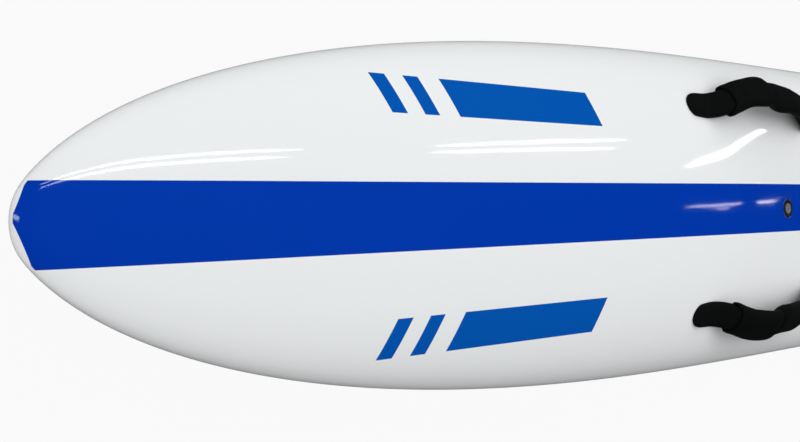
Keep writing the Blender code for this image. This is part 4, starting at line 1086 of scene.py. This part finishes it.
def plastic_finish(name, colour, roughness, grain):
    """Moulded plastic: a spark-eroded grain as bump, and a little unevenness in its gloss."""
    finish = Finish(name, colour, roughness=roughness)
    cloud = finish.noise(90.0, detail=3.0)
    finish.set("Roughness", roughness - 0.06 + 0.12 * cloud)
    finish.set("Base Color", finish.blend(cloud, [c * 0.8 for c in colour], colour))
    finish.set("Normal", finish.bump(finish.noise(grain), distance=0.00008, strength=0.5))
    return finish


black_plastic = plastic_finish("black_moulding", (0.011, 0.011, 0.012), 0.38, 2600.0)
grey_plastic = plastic_finish("grey_moulding", (0.17, 0.185, 0.2), 0.45, 2600.0)
seal_rubber = plastic_finish("seal_rubber", (0.012, 0.012, 0.013), 0.7, 900.0)

seat_height = VENT_PROUD - HEAD_RECESS - 2 * SEAL_WIRE - 2 * GAP
head_wall, bore = HEAD_RADIUS + GAP, SHANK_RADIUS + GAP
bore_end = seat_height - SHANK_LENGTH
body_profile = (
    (VENT_RADIUS, -VENT_FLANGE), (VENT_RADIUS, VENT_PROUD / 2), (VENT_RADIUS - EASE, VENT_PROUD - EASE / 3),
    (VENT_RADIUS - 3 * EASE, VENT_PROUD), (head_wall + 5 * EASE, VENT_PROUD),
    (head_wall + 3 * EASE, VENT_PROUD - EASE), (head_wall + EASE, VENT_PROUD - EASE),
    (head_wall, VENT_PROUD - 2 * EASE), (head_wall, seat_height), (bore, seat_height), (bore, bore_end),
    (VENT_AIR_HOLE, bore_end), (VENT_AIR_HOLE, -VENT_DEPTH), (VENT_BARREL_RADIUS, -VENT_DEPTH),
    (VENT_BARREL_RADIUS, -VENT_FLANGE),
)
vent_ring = spun("vent_ring", body_profile, vent_seat, ring=True)
place(vent_ring, black_plastic, "board", ("vent_body",))

seal_middle = seat_height + GAP + SEAL_WIRE
turn = full_turn(SEAL_COLUMNS)
wire_radius = SHANK_RADIUS + GAP + SEAL_WIRE * (1 + np.cos(turn))
wire = np.stack([wire_radius, seal_middle + SEAL_WIRE * np.sin(turn)], axis=-1)
vent_washer = spun("vent_washer", wire, vent_seat, ring=True)
place(vent_washer, seal_rubber, "vent_seal", ("vent_seal",))

head_base = seal_middle + SEAL_WIRE + GAP
head_top = head_base + HEAD_THICKNESS
dish_floor = head_top - HEAD_DISH
screw_profile = (
    (0, dish_floor), (HEAD_RADIUS * HEAD_DISH_FLOOR, dish_floor), (HEAD_RADIUS * HEAD_DISH_RIM, head_top),
    (HEAD_RADIUS - 2 * EASE, head_top), (HEAD_RADIUS - EASE / 2, head_top - EASE / 2),
    (HEAD_RADIUS, head_top - 2 * EASE), (HEAD_RADIUS, head_base), (SHANK_RADIUS, head_base),
    (SHANK_RADIUS, bore_end + 2 * GAP), (SHANK_RADIUS - EASE, bore_end + GAP), (0, bore_end + GAP),
)
vent_cap = spun("vent_cap", screw_profile, vent_seat)
slot_size = (HEAD_RADIUS * SLOT_SHARE, SLOT_WIDTH, SLOT_WIDTH / 2 - HAIR, 0.0)
coin_slot = plate("coin_slot", slot_size, head_top - SLOT_DEPTH, head_top + PAST_DECK, vent_seat)
carve(vent_cap, "DIFFERENCE", coin_slot)
place(vent_cap, grey_plastic, "vent_screw", ("vent_screw",))
print("vent flange", 2 * VENT_RADIUS, "m across")

# %% [markdown]
# ## The fin
#
# A touring fin is moulded in one piece: a thin raked foil, and under it a tab and a tongue that slide
# in the box. The foil is a row of sections from base to tip. The solids' fin has few sections, so this
# one is drawn again with many, then joined to its tab and drilled for its pin and screw.

# %% Fin
FIN_DEPTH, FIN_BASE, FIN_RAKE, FIN_THICKNESS = 0.2, 0.145, 0.115, 0.0086
TAB_HEIGHT, TAB_LENGTH, TONGUE_LENGTH, TONGUE_HEIGHT = 0.018, 0.132, 0.02, 0.005
PIN_RADIUS, PIN_FROM_END, FIN_SCREW_RADIUS, FIN_SCREW_HEAD = 0.0024, 0.012, 0.0019, 0.002
CHANNEL_BASE, CHANNEL_HEIGHT = 0.009, 0.0062
FOIL_ROWS, FOIL_POINTS, FOIL_STOP = 60, 56, 0.02
CHORD_POWER, CHORD_ROUNDNESS, CHORD_WAIST, RAKE_POWER = 2.4, 0.6, 0.2, 1.7
FOIL_THINNING, BELLY_POWER, BELLY_FORWARD = 0.75, 1.1, 0.3
PIN_HOLE_REACH, SCREW_HOLE_FOOT, SCREW_HOLE_TOP = 0.02, 0.001, 0.03


def foil_sections():
    """Chord, rake and thickness are powers of the share of the depth; a section is a flattened circle,
    fuller ahead of its middle."""
    down = np.sin(np.linspace(0.0, math.pi / 2 - FOIL_STOP, FOIL_ROWS))[:, None]
    waist = 1 - CHORD_WAIST * np.sin(math.pi * down)
    half_chord = FIN_BASE / 2 * (1 - down**CHORD_POWER) ** CHORD_ROUNDNESS * waist
    thick = FIN_THICKNESS * (1 - FOIL_THINNING * down)
    angle = full_turn(FOIL_POINTS)[None]
    along = -np.cos(angle)
    belly = signed_power(np.sin(angle), BELLY_POWER) * (1 - BELLY_FORWARD * along)
    x = FIN_RAKE * down**RAKE_POWER + half_chord * along
    z = np.broadcast_to(-2 * GAP - FIN_DEPTH * down, x.shape)
    return box_seat.world(np.stack([x, thick / 2 * belly, z], axis=-1))


fin = tube("fin_moulding", foil_sections())
tab_size = (TAB_LENGTH, FIN_THICKNESS, FIN_THICKNESS / 2 - GAP, 0.0)
tab = plate("tab", tab_size, -TONGUE_HEIGHT, TAB_HEIGHT, box_seat)
tongue_base = FIN_SCREW_HEAD + GAP
tongue_middle = (FIN_THICKNESS - TAB_LENGTH - TONGUE_LENGTH) / 2
tongue_size = (TONGUE_LENGTH + FIN_THICKNESS, FIN_THICKNESS, FIN_THICKNESS / 4, tongue_middle)
tongue = plate("tongue", tongue_size, tongue_base, tongue_base + TONGUE_HEIGHT, box_seat)
carve(fin, "UNION", tab, tongue)
pin_place = box_seat.world([[TAB_LENGTH / 2 - PIN_FROM_END, 0, CHANNEL_BASE + CHANNEL_HEIGHT / 2]])[0]
pin_seat = Seat(pin_place, box_seat.ahead, box_seat.side)
pin_hole = cylinder("pin_hole", PIN_RADIUS + GAP, -PIN_HOLE_REACH, PIN_HOLE_REACH, pin_seat)
screw_place = box_seat.world([[-(TAB_LENGTH + TONGUE_LENGTH) / 2, 0, 0]])[0]
screw_seat = Seat(screw_place, box_seat.ahead, box_seat.up)
screw_hole = cylinder("screw_hole", FIN_SCREW_RADIUS + GAP, SCREW_HOLE_FOOT, SCREW_HOLE_TOP, screw_seat)
carve(fin, "DIFFERENCE", pin_hole, screw_hole)
fin_black = plastic_finish("fin_moulding", (0.012, 0.012, 0.013), 0.32, 1500.0)
place(fin, fin_black, "fin", ("fin",))
print("fin", len(fin.data.polygons), "faces")

# %% [markdown]
# ## Metal, foam and wood
#
# The small hardware and the inside of the board keep their solids, and only get a finish. Screws and
# washers are passivated stainless steel with fine turning marks, the fin's nut plate is brass, the
# core is beads of expanded foam, and the stringer is a strip of cedar.

# %% Finishes of the solids that stay
def metal_finish(name, colour, roughness):
    """Turned metal: fine noise in its gloss and a light bump."""
    finish = Finish(name, colour, roughness=roughness, metallic=1.0)
    marks = finish.noise(1800.0, detail=3.0)
    finish.set("Roughness", roughness - 0.05 + 0.12 * marks)
    finish.set("Normal", finish.bump(marks, distance=0.00003, strength=0.5))
    return finish


def bead_finish():
    """Expanded foam: round cells about 4 mm across, each a little domed."""
    finish = Finish("foam_beads", (0.87, 0.88, 0.86), roughness=0.9)
    cells = finish.add("ShaderNodeTexVoronoi", values={"Vector": finish.whole, "Scale": 240.0})
    finish.set("Normal", finish.bump(1 - cells, distance=0.0006, strength=0.6))
    finish.set("Base Color", finish.blend(cells, (0.88, 0.89, 0.87), (0.78, 0.79, 0.77)))
    return finish


def cedar_finish():
    """Sawn cedar: grain lines stretched along the strip."""
    finish = Finish("cedar_strip", (0.45, 0.27, 0.14), roughness=0.6)
    stretch = {"Vector": finish.whole, "Scale": (4.0, 300.0, 220.0)}
    grain = finish.noise(1.0, detail=4.0, where=finish.add("ShaderNodeMapping", values=stretch))
    finish.set("Base Color", finish.blend(grain, (0.33, 0.18, 0.09), (0.52, 0.33, 0.18)))
    return finish


stainless = metal_finish("stainless", (0.62, 0.62, 0.60), 0.28)
brass = metal_finish("brass_plate", (0.70, 0.50, 0.20), 0.32)
foam_beads = bead_finish()
cedar = cedar_finish()
kept = {
    "core_port": foam_beads, "core_starboard": foam_beads, "stringer": cedar, "fin_box": black_plastic,
    "fin_pin": stainless, "fin_screw": stainless, "fin_nut_plate": brass,
}
for label in lines:
    for end_name in ENDS:
        kept[f"{label}_insert_{end_name}"] = black_plastic
        kept[f"{label}_washer_{end_name}"] = stainless
        kept[f"{label}_screw_{end_name}"] = stainless
for name, finish in kept.items():
    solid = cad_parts[name]
    if solid.material_slots:
        solid.material_slots[0].material = finish.material
    else:
        solid.data.materials.append(finish.material)
print(len(kept), "solids keep their shape and get a finish")

# %% [markdown]
# ## Light, floor and background
#
# Gloss shows the room, so the room is most of the picture. The background and the floor are white to
# the camera alone, and the floor that lights the rails from below is a plain grey. Soft light comes
# from three wide lamps: ahead of the nose, overhead, and overhead to starboard, so the white falls off
# gently to port. A lamp's row gives its place, the point that it faces, its two sizes and its power.
#
# What the gloss mirrors is nearly dark, but for pairs of long thin tubes under the ceiling. Each tube
# was put where the camera's sight line, mirrored in the deck's own formula, meets the ceiling's height.
# A tube's row gives its two ends, its width and its brightness.

# %% Floor, world and lamps
FLOOR, FLOOR_REACH, FLOOR_WHITE = -0.2, 40.0, 0.94
FLOOR_CORNERS = ((-1, -1), (1, -1), (1, 1), (-1, 1))
FLOOR_GREY = (0.25, 0.245, 0.25)
AMBIENT, MIRRORED = 0.14, 0.004
CEILING = 3.0


def make_floor():
    """A floor that is mostly white to the camera, so that it keeps only some of the board's shadow."""
    mesh = bpy.data.meshes.new("floor")
    corners = [(across * FLOOR_REACH, up * FLOOR_REACH, FLOOR) for across, up in FLOOR_CORNERS]
    mesh.from_pydata(corners, [], [(0, 1, 2, 3)])
    floor = add_object("floor", mesh)
    finish = Finish("floor_paper", FLOOR_GREY, roughness=0.9, specular_ior_level=0.0)
    seen = finish.add("ShaderNodeLightPath", output="Is Camera Ray")
    glow = finish.add("ShaderNodeEmission", values={"Strength": 1.0})
    paper = Link(finish, finish.shader.outputs[0])
    mix = finish.add("ShaderNodeMixShader", values={0: seen * FLOOR_WHITE, 1: paper, 2: glow})
    finish.feed(finish.tree.nodes["Material Output"].inputs[0], mix)
    mesh.materials.append(finish.material)


def make_world():
    """White to the camera, an even soft light to matt surfaces, and almost dark to mirrors."""
    world = bpy.data.worlds.new("studio")
    world.use_nodes = True
    bpy.context.scene.world = world
    nodes = Nodes(world.node_tree)
    camera_ray = nodes.add("ShaderNodeLightPath", output="Is Camera Ray")
    glossy_ray = nodes.add("ShaderNodeLightPath", output="Is Glossy Ray")
    strength = camera_ray * (1 - AMBIENT) + glossy_ray * (MIRRORED - AMBIENT) + AMBIENT
    background = world.node_tree.nodes["Background"]
    nodes.feed(background.inputs["Color"], (1.0, 1.0, 1.0, 1.0))
    nodes.feed(background.inputs["Strength"], strength)


def make_lamp(name, middle, target, size, power, mirrored=True):
    """Rectangular lamp that faces a point and is hidden from the camera. The gloss shows it only if it
    is mirrored."""
    light = bpy.data.lights.new(name, "AREA")
    light.shape = "RECTANGLE"
    light.size, light.size_y = size
    light.energy = power
    lamp = add_object(name, light)
    lamp.location = middle
    lamp.rotation_euler = (Vector(target) - Vector(middle)).to_track_quat("-Z", "Y").to_euler()
    lamp.visible_glossy = mirrored
    lamp.visible_camera = False
    return lamp


def make_tube(name, start, end, width, glow):
    """Long thin ellipse under the ceiling, facing down, so that its mirror image tapers. Its power is its
    brightness times four times its area."""
    run = np.array(end) - np.array(start)
    length = float(np.linalg.norm(run))
    middle = (np.array(start) + np.array(end)) / 2
    power = math.pi * length * width * glow
    lamp = make_lamp(name, (*middle, CEILING), (*middle, 0.0), (length, width), power)
    lamp.data.shape = "ELLIPSE"
    lamp.rotation_euler = (0.0, 0.0, math.atan2(run[1], run[0]))
    lamp.visible_diffuse = False


SOFT_LAMPS = {
    "soft_nose": ((-4.0, 0.0, 3.0), (-0.5, 0.0, 0.1), (4.0, 4.0), 63.0),
    "soft_above": ((0.3, 0.0, 3.2), (0.3, 0.001, 0.1), (5.0, 7.0), 66.0),
    "soft_starboard": ((0.3, 2.1, 3.0), (0.3, 0.0, 0.1), (5.0, 7.0), 124.0),
}
GLINT = ((-3.2, 0.13, 2.05), (-1.6, 0.0, 0.15), (0.1, 1.2), 2.0)
TUBES = {
    "near_pair_outer": ((-1.96, 0.95), (0.74, 0.89), 0.045, 10.0),
    "near_pair_inner": ((-1.94, 0.81), (0.66, 0.77), 0.045, 10.0),
    "far_pair_outer": ((1.60, 0.94), (3.26, 1.13), 0.055, 8.0),
    "far_pair_inner": ((1.55, 0.83), (3.08, 0.95), 0.045, 8.0),
    "last_pair": ((3.88, 0.65), (6.10, 1.90), 0.13, 8.0),
    "aisle_near": ((3.78, 0.07), (4.75, 0.12), 0.014, 10.0),
    "aisle_far": ((5.45, 0.13), (6.35, 0.125), 0.022, 8.0),
    "aisle_short": ((4.08, 0.05), (4.28, 0.05), 0.010, 10.0),
}
make_floor()
make_world()
for name, values in SOFT_LAMPS.items():
    make_lamp(name, *values, mirrored=False)
glint = make_lamp("tip_glint", *GLINT)
glint.data.shape = "ELLIPSE"
glint.visible_diffuse = False
for name, values in TUBES.items():
    make_tube(name, *values)
bpy.context.scene.view_settings.view_transform = "Standard"
